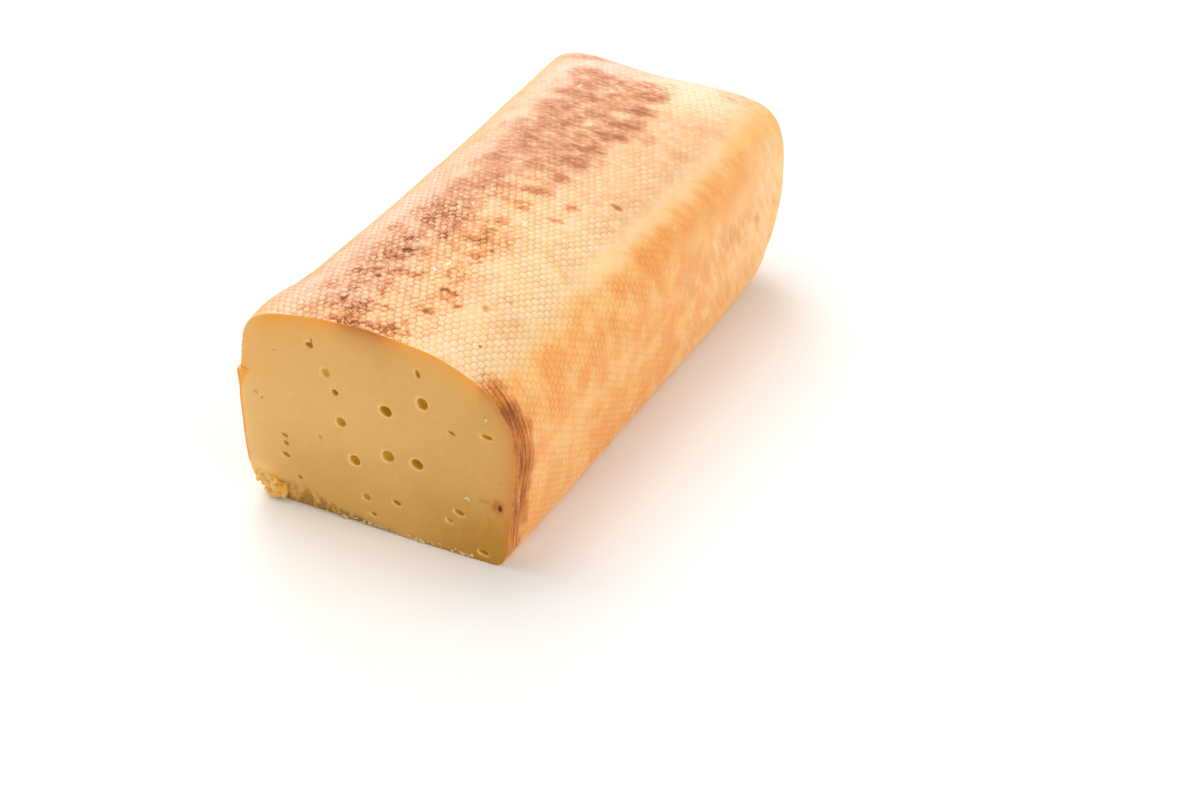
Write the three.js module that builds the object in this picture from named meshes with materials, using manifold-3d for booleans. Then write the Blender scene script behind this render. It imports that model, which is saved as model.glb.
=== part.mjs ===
// A loaf of smoked baby Swiss cheese with its near end cut off, in millimetres, +Z up.
// The cut face looks along -Y and the whole, rounded end along +Y. The origin lies under the middle.

import * as THREE from "three";
import { mergeVertices } from "three/addons/utils/BufferGeometryUtils.js";
import Module from "manifold-3d";

// The loaf: its greatest width is at the belly, its greatest height at the crown.
const WIDTH = 130;
const HEIGHT = 99;
const LENGTH = 282;
const BELLY_HEIGHT = 50;
const BASE_SINK = 2; // depth of round underside that its own weight has pressed flat
const FOOT_TAPER = { left: 0.02, right: 0.08 }; // share of the half width lost between belly and base
const END_DRIFT = 5.5; // the far end stands this much to the right
const END_FLARE = 0.03; // share of the width gained by the far end

// Squareness of the section's four corners: 2 is an ellipse, and larger is nearer to a rectangle.
const CORNERS_AT_CUT = { upperLeft: 3.3, upperRight: 2.5, lowerLeft: 6, lowerRight: 13 };
const CORNERS_AT_END = { upperLeft: 4.6, upperRight: 5, lowerLeft: 6, lowerRight: 6.5 };

// Near the cut the upper left corner is pressed squarer, between a sloping shoulder and a leaning side.
const SHOULDER = { squareness: 5.2, slope: 8, lean: 0.077, reach: 60 };

// Where the knife came down, the edge of the crown is pressed in between these places across.
const KNIFE_PRESS = { depth: 1.2, from: -6, full: 14, fading: 40, to: 56, reach: 32 };

// The far end rounds over within these depths, further at the heel than at the crown.
const CROWN_ROUNDING = 24;
const HEEL_ROUNDING = 36;
const CORNER_PULL = 0.6; // share of the rounding missing at its upper left corner, which is drawn out
const END_SQUARENESS = 2.5;
const END_DROOP = 2.2; // its crown hangs this much lower on the right

// Slow swelling of the loaf along its length.
const SWELL = 0.4;
const SWELL_LENGTH = 170;

// The eyes on the cut face, each [across from the middle, height, width, height of its mouth].
const EYES = [
  [5.7, 61.6, 6.4, 5.6],
  [23, 70, 5.8, 6.4],
  [5.6, 39.5, 6.4, 6.2],
  [19.3, 39.6, 6.2, 5.8],
  [-10.5, 32.6, 5.8, 5.8],
  [-16, 50, 5.6, 5.2],
  [-28.7, 85, 4.8, 5.4],
  [-22, 72.5, 4.4, 4.8],
  [21.5, 84, 3, 4.6],
  [-18, 64, 3.6, 3.6],
  [38, 21, 5.4, 3.8],
  [33.5, 15.8, 4, 3],
  [52, 62.5, 5.6, 2.8],
  [36, 59.7, 4, 2.5],
  [-6, 15.3, 4.5, 4.2],
  [8.5, 16.7, 4.6, 3.3],
  [-3, 7.6, 3.6, 2.8],
  [-27, 39.7, 3.4, 3.6],
  [-44.5, 35.2, 3.6, 1.9],
  [-44, 31.4, 2.9, 2.2],
  [-44.6, 25.3, 4, 2.6],
  [-38.5, 15.6, 3.6, 2.8],
  [-57, 53.6, 2.6, 2.4],
  [57, 29.5, 2.4, 3.6],
  [49, 4.2, 4.8, 2.8],
];
const EYE_DEPTH = 0.95; // how far an eye reaches in, as a share of its width
const EYE_SIT = 0.22; // how far behind the face its middle lies, as a share of its width

// Along the foot of the cut face the cheese broke away instead of being sliced.
const TEAR_FROM = -45; // from the left side to here it keeps its full height
const TEAR_TO = 20; // where it runs out
const TEAR_HEIGHT = 15.5;
const TEAR_DEPTH = 3.2;
const TEAR_RIDGE = 0.7; // height of the fibres that stand up in the break
const TEAR_RIDGE_PITCH = 4.6;

// A sliver of rind left standing along the left edge of the cut face.
const LIP_TOP = 64;
const LIP_WAIST = 55; // below its waist it is only a thread
const LIP_FOOT = 17;
const LIP_WIDTH = 4.4;
const LIP_THREAD = 0.9;
const LIP_BULGE = 1.3; // how far its top stands out from the left side
const LIP_STEP = 1.4; // how far it stands out in front of the cut

// Soft paste pushed out at the lower left corner, as lobes: across, height, width, tall, and how far
// each stands out of the cut.
const LUMPS = [
  [-53.2, 7, 11, 11, 1.5],
  [-58.4, 9.8, 5.6, 9.6, 1.2],
  [-48, 4.8, 6.4, 7.2, 1],
  [-51.8, 12, 6.4, 5.6, 0.9],
];
const LUMP_ROOT = 7; // how far a lobe reaches in behind the cut

// Facets
const SIDES = 84;
const BODY_RINGS = 15;
const RING_CROWDING = 1.6; // above 1 the rings stand closer together near the cut
const END_RINGS = 9;
const LAST_RING = 0.83; // the last ring's share of the quarter turn to the far end's middle
const EYE_SIDES = 14;
const EYE_BANDS = 10;

const CHEESE_COLOUR = 0xe3b96f;

const wasm = await Module();
wasm.setup();

const lerp = THREE.MathUtils.lerp;
const smooth = (value) => THREE.MathUtils.smoothstep(value, 0, 1);
const signedPower = (value, power) => Math.sign(value) * Math.abs(value) ** power;

// A closed geometry as a solid that can be cut and joined.
function solidOf(geometry) {
  const bare = geometry.clone();
  bare.deleteAttribute("normal");
  bare.deleteAttribute("uv");
  const merged = mergeVertices(bare, 1e-4);
  return new wasm.Manifold(
    new wasm.Mesh({
      numProp: 3,
      vertProperties: new Float32Array(merged.attributes.position.array),
      triVerts: new Uint32Array(merged.index.array),
    }),
  );
}

// The geometry of a finished solid.
function geometryOf(solid) {
  const mesh = solid.getMesh();
  const geometry = new THREE.BufferGeometry();
  geometry.setAttribute("position", new THREE.BufferAttribute(mesh.vertProperties, 3));
  geometry.setIndex(new THREE.BufferAttribute(mesh.triVerts, 1));
  geometry.computeVertexNormals();
  return geometry;
}

// The outline of the loaf across its length, from under its middle round by the right side.
class LoafSection extends THREE.Curve {
  constructor(corners, shoulder) {
    super();
    this.corners = corners;
    this.shoulder = shoulder;
    this.arcLengthDivisions = 1200;
  }

  getPoint(share, target = new THREE.Vector3()) {
    const angle = 2 * Math.PI * share - Math.PI / 2;
    const across = Math.cos(angle);
    const upward = Math.sin(angle);
    const { upperLeft, upperRight, lowerLeft, lowerRight } = this.corners;
    const [left, right] = upward > 0 ? [upperLeft, upperRight] : [lowerLeft, lowerRight];
    const power = 2 / (across > 0 ? right : left);
    const rise = upward > 0 ? HEIGHT - BELLY_HEIGHT : BELLY_HEIGHT + BASE_SINK;
    const z = BELLY_HEIGHT + rise * signedPower(upward, power);
    const lost = across > 0 ? FOOT_TAPER.right : FOOT_TAPER.left;
    const taper = 1 - lost * THREE.MathUtils.clamp(1 - z / BELLY_HEIGHT, 0, 1);
    const pressed = across < 0 && upward > 0 ? this.shoulder * ((z - BELLY_HEIGHT) / rise) : 0;
    const x = signedPower(across, power) * taper * (1 - SHOULDER.lean * pressed);
    return target.set((WIDTH / 2) * x, 0, z - SHOULDER.slope * pressed * x ** 2);
  }
}

// The section at a share of the way along the loaf.
function sectionAt(along) {
  const shoulder = Math.max(1 - (LENGTH * along) / SHOULDER.reach, 0) ** 3;
  const corners = {};
  for (const corner in CORNERS_AT_CUT) {
    corners[corner] = lerp(CORNERS_AT_CUT[corner], CORNERS_AT_END[corner], along ** 3);
  }
  corners.upperLeft += SHOULDER.squareness * shoulder;
  return new LoafSection(corners, shoulder);
}

// How far a point near the cut is pressed down.
function knifePress(x, y, z) {
  const { depth, from, full, fading, to, reach } = KNIFE_PRESS;
  const across = smooth((x - from) / (full - from)) * smooth((to - x) / (to - fading));
  const high = smooth((z - BELLY_HEIGHT) / (0.5 * (HEIGHT - BELLY_HEIGHT)));
  return depth * across * high * Math.max(1 - y / reach, 0) ** 2;
}

// One ring of the loaf as points, ring 0 lying in the cut face.
function loafRing(ring) {
  const along = Math.min(ring / BODY_RINGS, 1) ** RING_CROWDING;
  const turn = (Math.max(ring - BODY_RINGS, 0) / END_RINGS) * LAST_RING * (Math.PI / 2);
  const shrink = Math.cos(turn) ** (2 / END_SQUARENESS);
  const reach = Math.sin(turn) ** (2 / END_SQUARENESS);
  return sectionAt(along).getSpacedPoints(SIDES).map((point) => {
    const lowness = smooth(1 - point.z / BELLY_HEIGHT);
    const highness = smooth((point.z - BELLY_HEIGHT) / (HEIGHT - BELLY_HEIGHT));
    const leftness = smooth((-2 * point.x) / WIDTH);
    const pull = 1 - CORNER_PULL * highness * leftness;
    const rounding = lerp(CROWN_ROUNDING, HEEL_ROUNDING, lowness) * pull;
    const y = (LENGTH - rounding) * along + rounding * reach;
    const swell = 1 + (SWELL / HEIGHT) * Math.sin((2 * Math.PI * y) / SWELL_LENGTH);
    const flare = 1 + END_FLARE * (y / LENGTH) ** 2;
    const x = point.x * shrink * swell * flare + (END_DRIFT * y) / LENGTH;
    const droop = END_DROOP * highness * smooth((point.x + 50) / 60) * (y / LENGTH) ** 3;
    const fallen = point.z - droop - knifePress(point.x, y, point.z);
    const z = BELLY_HEIGHT + (fallen - BELLY_HEIGHT) * shrink * swell;
    return new THREE.Vector3(x, y, Math.max(z, 0));
  });
}

// The loaf without its eyes: a cylinder whose rings are moved onto the loaf's own.
function loafBody() {
  const rings = BODY_RINGS + END_RINGS;
  const geometry = new THREE.CylinderGeometry(1, 1, 1, SIDES, rings);
  const points = Array.from({ length: rings + 1 }, (_, ring) => loafRing(ring));
  const cutMiddle = new THREE.Vector3(0, 0, BELLY_HEIGHT);
  const endMiddle = new THREE.Vector3(END_DRIFT, LENGTH, BELLY_HEIGHT);
  const position = geometry.getAttribute("position");
  const vertex = new THREE.Vector3();
  for (let i = 0; i < position.count; i++) {
    vertex.fromBufferAttribute(position, i);
    const isMiddle = Math.hypot(vertex.x, vertex.z) < 0.5;
    const ring = Math.round((0.5 + vertex.y) * rings);
    const turn = Math.atan2(vertex.x, -vertex.z) / (2 * Math.PI) + 1;
    const side = Math.round(turn * SIDES) % SIDES;
    vertex.copy(isMiddle ? (ring === 0 ? cutMiddle : endMiddle) : points[ring][side]);
    position.setXYZ(i, vertex.x, vertex.y, vertex.z);
  }
  return solidOf(geometry);
}

// An ellipsoid of the given full sizes about a point.
function ellipsoid(centre, sizes) {
  const geometry = new THREE.SphereGeometry(0.5, EYE_SIDES, EYE_BANDS);
  geometry.scale(sizes.x, sizes.y, sizes.z);
  geometry.translate(centre.x, centre.y, centre.z);
  return solidOf(geometry);
}

function eye([across, height, width, tall]) {
  const centre = new THREE.Vector3(across, EYE_SIT * width, height);
  return ellipsoid(centre, new THREE.Vector3(width, 2 * EYE_DEPTH * width - 2 * EYE_SIT * width, tall));
}

// What has broken away at the foot: a block in front of the face whose back is fibrous and slopes in.
function tornStrip() {
  const ahead = 6;
  const below = 2;
  const length = TEAR_TO + WIDTH / 2 + 6;
  const columns = 54;
  const rows = 4;
  const geometry = new THREE.BoxGeometry(length, ahead, 1, columns, 1, rows);
  const position = geometry.getAttribute("position");
  const vertex = new THREE.Vector3();
  for (let i = 0; i < position.count; i++) {
    vertex.fromBufferAttribute(position, i);
    const x = TEAR_TO - length / 2 + vertex.x;
    const up = vertex.z + 0.5;
    const fade = THREE.MathUtils.clamp((TEAR_TO - x) / (TEAR_TO - TEAR_FROM), 0, 1);
    const top = TEAR_HEIGHT * fade + 0.5 * Math.sin(x / 2.3) * fade;
    const z = lerp(-below, top, up);
    const fibre = Math.sin((2 * Math.PI * x) / TEAR_RIDGE_PITCH + 1.7 * Math.sin(x / 3.1));
    const into = TEAR_DEPTH * Math.sqrt(fade) * smooth(3 * (1 - up));
    const back = into + TEAR_RIDGE * fade * fibre * smooth(4 * (1 - up));
    position.setXYZ(i, x, vertex.y < 0 ? -ahead : back, z);
  }
  return solidOf(geometry);
}

// The standing sliver of rind: a small flake that narrows to a thread down the left side.
function rindLip() {
  const steps = 14;
  const inside = 3; // how deep its root lies in the loaf
  const left = sectionAt(0).getPoints(900).filter((point) => point.x < 0);
  const sideAt = (z) => left.reduce((a, b) => (Math.abs(a.z - z) < Math.abs(b.z - z) ? a : b)).x;
  const outer = [];
  const inner = [];
  for (let step = 0; step <= steps; step++) {
    const z = lerp(LIP_TOP, LIP_FOOT, step / steps);
    const flake = THREE.MathUtils.clamp((z - LIP_WAIST) / (LIP_TOP - LIP_WAIST), 0, 1);
    const thread = THREE.MathUtils.clamp((z - LIP_FOOT) / (LIP_WAIST - LIP_FOOT), 0, 1);
    const width = lerp(LIP_THREAD * lerp(0.3, 1, thread), LIP_WIDTH, flake);
    const bulge = LIP_BULGE * smooth((z - BELLY_HEIGHT) / (LIP_TOP - BELLY_HEIGHT));
    outer.push(new THREE.Vector2(sideAt(z) + 0.1 - bulge, z));
    inner.unshift(new THREE.Vector2(sideAt(z) + 0.1 + width, z));
  }
  const outline = new THREE.Shape([...outer, ...inner]);
  const depth = LIP_STEP + inside;
  const geometry = new THREE.ExtrudeGeometry(outline, { depth, bevelEnabled: false });
  geometry.rotateX(Math.PI / 2);
  geometry.translate(0, inside, 0);
  return solidOf(geometry);
}

function pushedLump([across, height, width, tall, stand]) {
  const centre = new THREE.Vector3(across, (LUMP_ROOT - stand) / 2, height);
  return ellipsoid(centre, new THREE.Vector3(width, LUMP_ROOT + stand, tall));
}

function cheeseLoaf() {
  let solid = loafBody().subtract(tornStrip()).add(rindLip());
  for (const place of LUMPS) solid = solid.add(pushedLump(place));
  for (const place of EYES) solid = solid.subtract(eye(place));
  const geometry = geometryOf(solid);
  const material = new THREE.MeshStandardMaterial({ color: CHEESE_COLOUR, roughness: 0.55, metalness: 0 });
  const mesh = new THREE.Mesh(geometry, material);
  mesh.name = "cheese_loaf";
  const box = new THREE.Box3().setFromBufferAttribute(geometry.getAttribute("position"));
  const middle = box.getCenter(new THREE.Vector3());
  mesh.position.set(-middle.x, -middle.y, -box.min.z);
  return mesh;
}

const cheese = new THREE.Group();
cheese.add(cheeseLoaf());

export default cheese;
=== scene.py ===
"""A loaf of smoked baby Swiss cheese with its near end cut off, laid out as a Blender add-on.

Everything is in metres, +Z up. The loaf is shaped about the middle of the foot of its cut face, with
+Y running away from the cut, and is then moved to its place in the frame.
"""

import math
import random

import bpy
import numpy as np
from bpy.props import FloatProperty, FloatVectorProperty, IntProperty, PointerProperty
from mathutils import Matrix, Vector, noise
from mathutils.geometry import delaunay_2d_cdt


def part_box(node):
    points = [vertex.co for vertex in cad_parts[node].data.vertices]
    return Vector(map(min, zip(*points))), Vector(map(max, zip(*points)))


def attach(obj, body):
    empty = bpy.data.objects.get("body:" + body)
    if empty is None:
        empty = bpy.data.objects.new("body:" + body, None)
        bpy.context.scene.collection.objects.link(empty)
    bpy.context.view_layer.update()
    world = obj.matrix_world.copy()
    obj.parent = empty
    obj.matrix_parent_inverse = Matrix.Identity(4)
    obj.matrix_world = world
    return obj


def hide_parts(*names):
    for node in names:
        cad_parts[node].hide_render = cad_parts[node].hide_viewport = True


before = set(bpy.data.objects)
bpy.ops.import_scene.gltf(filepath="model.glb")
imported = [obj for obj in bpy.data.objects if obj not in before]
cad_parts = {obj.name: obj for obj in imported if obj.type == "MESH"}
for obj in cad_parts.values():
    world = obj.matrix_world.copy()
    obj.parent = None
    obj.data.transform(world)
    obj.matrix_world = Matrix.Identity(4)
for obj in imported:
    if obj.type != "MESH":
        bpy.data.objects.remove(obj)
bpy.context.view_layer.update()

bl_info = {
    "name": "Smoked Cheese Loaf",
    "version": (1, 0, 0),
    "blender": (4, 5, 0),
    "location": "View3D > Sidebar > Cheese",
    "description": "Builds a cut loaf of smoked cheese with a net-marked rind, and a plain stage for it",
    "category": "Add Mesh",
}

LOAF_LOW, LOAF_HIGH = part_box("cheese_loaf")
MM = 0.001

# Eyes on the cut face in millimetres: across, height, width, tall, depth as a share of the width, turn
EYES = (
    (5.7, 61.6, 6.0, 5.2, 0.95, -20),
    (23, 70, 5.2, 6.0, 0.8, 10),
    (5.6, 39.5, 6.0, 5.8, 0.6, 0),
    (19.3, 39.6, 5.8, 5.2, 0.95, -15),
    (-10.5, 32.6, 5.4, 5.4, 0.65, 0),
    (-16, 50, 5.0, 4.8, 0.6, 0),
    (-28.9, 83.7, 4.2, 3.0, 0.7, 10),
    (-22, 72.5, 4.4, 4.6, 0.4, 0),
    (21.5, 84, 2.6, 4.2, 0.9, 15),
    (-18, 64, 3.4, 3.2, 0.9, -15),
    (38, 21, 5.2, 2.8, 0.6, -18),
    (33.5, 15.8, 4, 2.8, 0.5, -10),
    (52, 62.5, 5.4, 2.2, 0.5, -8),
    (36, 59.7, 3.8, 2.0, 0.6, -18),
    (-6, 15.3, 4.2, 3.8, 0.6, 0),
    (8.5, 16.7, 4.4, 2.8, 0.7, -12),
    (-3, 7.6, 3.4, 2.4, 0.7, -8),
    (-27, 39.7, 3.0, 3.2, 0.4, 0),
    (-44.5, 35.2, 4.0, 2.0, 0.5, -10),
    (-44, 31.4, 3.2, 2.5, 0.7, -10),
    (-44.6, 25.3, 4.2, 2.6, 0.6, -18),
    (-38.5, 15.6, 3.2, 2.4, 0.7, -10),
    (-57, 53.6, 2.6, 0.8, 0.4, -30),
    (49, 4.4, 5.2, 2.8, 0.6, -12),
    (-54, 51.5, 1.3, 1.2, 0.8, 0),
    (-40, 56, 1.2, 1.3, 0.3, 0),
    (57, 42, 1.5, 1.0, 0.6, -10),
    (-46, 77, 1.2, 0.9, 0.5, 0),
    (2, 84, 0.9, 0.9, 0.8, 0),
    (-57, 38, 1.2, 0.9, 0.4, 0),
)

# A second lobe that opens into an eye and a burnt pit, given the same way
EYE_LOBES = ((-27.7, 86.2, 1.7, 3.0, 0.8, -6),)
BURNT_PIT = ((57.4, 29.6, 1.2, 2.6, 0.6, 10),)

# Steps round an eye, steps down its bowl in degrees, and how far its cutter starts in front of the cut
EYE_SIDES = 18
EYE_CURVE = (0, 18, 36, 54, 72)
EYE_FRONT = 0.001

# The scorched spot round that pit and the burn in it: across, height, half width, half height, strength
SCORCH = ((56.4, 30.0, 3.4, 4.2, 0.88), (50.5, 31.0, 3.6, 1.4, 0.4))
BURN = ((57.4, 29.2, 1.4, 2.0, 0.95),)

# Flakes of the lump at the lower left corner in millimetres: middle, sizes, and lean in degrees
LUMP_FLAKES = (
    ((-53.0, 3.2, 6.8), (12.5, 7.0, 9.6), 12),
    ((-59.0, 1.4, 11.0), (2.4, 4.0, 10.6), 25),
    ((-56.4, 1.3, 9.0), (4.2, 4.2, 8.0), 14),
    ((-52.4, 0.7, 10.2), (4.6, 3.8, 4.6), 10),
    ((-50.6, 0.5, 6.2), (5.6, 3.8, 4.2), -8),
    ((-53.0, 0.9, 3.2), (8.6, 4.2, 3.4), 0),
    ((-47.6, 1.3, 5.6), (3.0, 3.6, 8.0), 6),
)

# A flap of paste that hangs over one eye, given the same way
EYE_FLAP = ((-29.6, 0.35, 86.0), (2.2, 1.5, 1.3), 0)

# White grains on the cut in metres: across, height, radius
WHITE_GRAINS = ((0.042, 0.0302, 0.0012), (0.0429, 0.0294, 0.0007), (0.052, 0.0712, 0.0009))

# Smoke stains on the rind in millimetres: around from the crown, along from the cut, half width,
# half length, strength
STAINS = (
    (-8, 2, 22, 6, 0.2),
    (-13, 3, 9, 3, 0.8),
    (-3, 2, 8, 3, 0.7),
    (8, 6, 7, 4, 0.6),
    (-22, 17, 1.6, 2, 1.0),
    (-23, 25, 3, 5, 0.5),
    (-17, 12, 4, 5, 0.4),
    (-10, 16, 8, 5, 0.3),
    (14, 24, 4, 2.6, 0.6),
    (-18.5, 38.5, 2.6, 2, 0.8),
    (-24, 43, 3, 3, 0.45),
    (13, 40.5, 5, 2.4, 0.7),
    (22, 33, 1.6, 1.6, 0.5),
    (31.5, 39.5, 1.5, 1.5, 0.5),
    (-13, 45, 9, 2.6, 0.4),
    (-24, 55, 5, 6, 0.5),
    (-19, 63, 3, 2.4, 0.85),
    (-10, 62, 6, 2, 0.45),
    (8, 54, 8, 5, 0.35),
    (10, 70, 5, 3, 0.5),
    (13.5, 77, 1.4, 1.4, 0.5),
    (-23, 72, 4, 6, 0.45),
    (2, 83, 8, 4, 0.55),
    (-35, 80, 5, 4, 0.25),
    (38, 50, 5, 2, 0.25),
    (-24, 90, 6, 5, 0.6),
    (-16, 97, 8, 4.5, 0.65),
    (-25, 104, 6, 6, 0.6),
    (4, 92, 6, 6, 0.4),
    (3, 102, 5, 6, 0.45),
    (-34, 98, 4, 4, 0.3),
    (-17, 113, 5, 5, 0.45),
    (-26, 121, 6, 6, 0.4),
    (-19, 126, 3, 3, 0.7),
    (6.5, 116, 3, 2.4, 0.3),
    (3, 120, 7, 2.4, 0.35),
    (24, 114, 3, 2, 0.35),
    (24.5, 127, 3, 2.2, 0.3),
    (5, 133, 7, 4, 0.6),
    (-8, 132, 6, 2.6, 0.35),
    (-20, 136, 5, 8, 0.4),
    (-4, 142, 6, 2.4, 0.35),
    (8, 148, 5, 3.4, 0.6),
    (1, 152, 6, 2.2, 0.5),
    (-23, 153, 5, 6, 0.6),
    (-9, 155.5, 7, 1.8, 0.35),
    (39, 141, 2.4, 1.6, 0.3),
    (5, 164, 11, 5, 0.6),
    (-24, 166, 6, 6, 0.5),
    (19, 169, 3, 3, 0.35),
    (-22, 178, 6, 6, 0.7),
    (6, 178, 9, 5, 0.6),
    (-8, 178, 7, 3, 0.5),
    (-10, 186, 7, 3, 0.5),
    (-28, 184, 4, 4, 0.5),
    (-22, 195, 6, 7, 0.65),
    (10, 194, 10, 5, 0.65),
    (-4, 196, 8, 2.6, 0.5),
    (26, 199, 7, 5, 0.35),
    (10, 206.5, 10, 4.6, 0.65),
    (-5, 211, 8, 2.8, 0.6),
    (-25, 210, 7, 8, 0.5),
    (14, 212.5, 7, 2.4, 0.45),
    (9, 223, 10, 5, 0.6),
    (-26, 226, 10, 4, 0.65),
    (-9, 226, 8, 3, 0.4),
    (-4, 234, 6, 2.4, 0.45),
    (7, 239, 9, 5, 0.5),
    (-24, 238, 8, 4, 0.5),
    (-8, 246, 7, 3.4, 0.4),
    (-32, 249, 8, 8, 0.35),
    (-43, 187, 3, 3, 0.3),
    (36, 257, 7, 2, 0.3),
    (-40, 266, 14, 3, 0.5),
    # The six stains down the right side next to the cut are partly real smoke and partly painted shade from
    # the slice that lay beside the loaf
    (57, 5, 7, 7, 0.6),
    (69, 3, 9, 7, 0.9),
    (84, 5, 14, 9, 0.85),
    (102, 6, 16, 10, 0.75),
    (120, 5, 12, 9, 0.65),
    (134, 4, 10, 9, 0.5),
    (88, 205, 7, 22, 0.2),
    (96, 235, 4, 4, 0.3),
)

# Small dark specks on the rind, given the same way
SPECKS = (
    (-22, 16.8, 1.1, 1.5, 1.0),
    (-21.6, 19.5, 0.8, 1.6, 0.6),
    (41.5, 18, 0.7, 0.7, 0.8),
    (9.5, 12.5, 1.0, 2.2, 0.5),
    (-3.5, 19, 1.5, 1.4, 0.5),
    (13.5, 23.5, 2.6, 2.0, 0.45),
    (21.5, 32.6, 1.3, 1.5, 0.5),
    (11.5, 40.6, 2.4, 1.6, 0.55),
    (31, 39.4, 1.5, 1.4, 0.45),
    (-18.7, 38.6, 1.7, 1.5, 0.75),
    (-4, 45.4, 1.2, 1.2, 0.5),
    (-19, 62.8, 2.2, 1.5, 0.85),
    (13.4, 67, 0.9, 0.9, 0.6),
    (13, 77, 1.0, 1.0, 0.6),
    (-23.5, 72, 1.6, 3.0, 0.5),
    (39, 141, 2.9, 1.9, 0.6),
)

# Brown bars across the far half of the crown, given the same way
BARS = (
    (6.5, 116, 3, 2, 0.4),
    (-4.5, 121, 2.5, 2.5, 0.35),
    (24.5, 126.5, 3.8, 3, 0.35),
    (23.8, 113.8, 5, 1, 0.35),
    (4, 133, 8, 4, 0.3),
    (7.5, 148, 5, 3, 0.4),
    (5, 164, 11, 4.5, 0.28),
    (6, 178, 8, 4, 0.32),
    (11, 194, 8, 4, 0.38),
    (12, 207, 8, 4, 0.34),
    (10, 223, 8, 4, 0.28),
    (12, 238, 7, 4, 0.15),
)

# White flecks on the rind, given the same way
FLECKS = (
    (0, 52.5, 0.5, 1.4, 0.9),
    (2.4, 60, 0.7, 2.0, 0.9),
    (14, 104.5, 0.8, 1.4, 0.7),
    (-9, 31, 0.4, 0.9, 0.7),
    (-31, 47, 0.4, 0.9, 0.7),
    (-27, 235, 0.8, 2.0, 0.6),
)

# Lights: name, place, size and colour
LIGHTS = (
    ("key", (-0.45, 0.15, 1.25), 1.0, (1.0, 0.98, 0.95)),
    ("fill", (1.15, -0.35, 0.75), 0.8, (1.0, 0.98, 0.96)),
    ("rim", (-0.8, 0.9, 0.8), 0.7, (1.0, 0.99, 0.98)),
)
LIGHT_TARGET = (0, 0, 0.05)

# The camera's place from the foot of the cut, the way it faces, and how far down it looks in degrees
CAMERA_PLACE = (0.4365, -0.6889, 0.600)
CAMERA_HEADING = (-0.4365, 0.8997, 0.0)
CAMERA_PITCH = 33.4


def length_value(name, description, default):
    """A property for a length in metres."""
    return FloatProperty(name=name, description=description, default=default, unit="LENGTH", precision=5)


def share_value(name, description, default):
    """A property for a plain number."""
    return FloatProperty(name=name, description=description, default=default)


def srgb_to_linear(value):
    """One colour channel from display values to scene values."""
    if value <= 0.04045:
        return value / 12.92
    return ((value + 0.055) / 1.055) ** 2.4


def colour_value(name, description, default):
    """A property for a colour, its default given as 8-bit sRGB."""
    linear = [srgb_to_linear(part / 255) for part in default]
    return FloatVectorProperty(
        name=name, description=description, default=linear, subtype="COLOR", min=0, max=1, size=3
    )


class LoafSizes(bpy.types.PropertyGroup):
    """The whole loaf's shape."""

    width: length_value("Width", "Across the belly at the cut face", 0.130)
    height: length_value("Height", "From the base to the crown", 0.099)
    length: length_value("Length", "From the cut face to the far end", 0.282)
    belly_height: length_value("Belly height", "Where the sides stand out most", 0.050)
    base_sink: length_value("Base sink", "Depth of round underside pressed flat", 0.002)
    taper_left: share_value("Left taper", "Share of the half width lost from belly to base", 0.02)
    taper_right: share_value("Right taper", "The same on the right", 0.08)
    end_drift: length_value("End drift", "How far the far end stands to the right", 0.0055)
    end_flare: share_value("End flare", "Share of the width gained by the far end", 0.03)
    corners_at_cut: FloatVectorProperty(
        name="Corners at cut",
        description="Squareness of the upper left, upper right, lower left and lower right corners",
        default=(3.3, 2.5, 6.0, 13.0),
        size=4,
    )
    corners_at_end: FloatVectorProperty(
        name="Corners at end",
        description="The same four corners at the far end",
        default=(4.6, 5.0, 6.0, 6.5),
        size=4,
    )
    shoulder_squareness: share_value("Shoulder squareness", "Added to the upper left corner at the cut", 5.2)
    shoulder_slope: length_value("Shoulder slope", "Fall of the shoulder towards that corner", 0.008)
    shoulder_lean: share_value("Shoulder lean", "Share that the side leans in below that corner", 0.077)
    shoulder_reach: length_value("Shoulder reach", "How far that corner runs along the loaf", 0.060)
    press_depth: length_value("Press depth", "How far the knife pressed the crown's edge down", 0.0012)
    press_from: length_value("Press from", "Where that press begins across the crown", -0.006)
    press_full: length_value("Press full", "Where it has its full depth", 0.014)
    press_fading: length_value("Press fading", "Where it begins to run out", 0.040)
    press_to: length_value("Press to", "Where it has run out", 0.056)
    press_reach: length_value("Press reach", "How far that runs along the loaf", 0.032)
    crown_rounding: length_value("Crown rounding", "Depth of the far end's rounding at the crown", 0.024)
    heel_rounding: length_value("Heel rounding", "Depth of the far end's rounding at its foot", 0.036)
    corner_pull: share_value("Corner pull", "Share of the rounding missing at the upper left corner", 0.6)
    end_squareness: share_value("End squareness", "How square the far end's rounding is", 2.5)
    end_droop: length_value("End droop", "How much lower the far crown hangs on the right", 0.0022)
    droop_from: length_value("Droop from", "Where that droop begins across the crown", -0.050)
    droop_full: length_value("Droop full", "Where it is full", 0.010)
    swell: share_value("Swell", "Slow swelling along the length, as a share of the height", 0.004)
    swell_length: length_value("Swell length", "Length of one swelling", 0.170)
    unevenness: length_value("Unevenness", "Height of the loaf's soft dents and bumps", 0.0005)
    crease_depth: length_value("Crease depth", "Fold down the right side near the far end", 0.0012)
    crease_along: length_value("Crease along", "How far from the cut that fold lies", 0.254)


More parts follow.
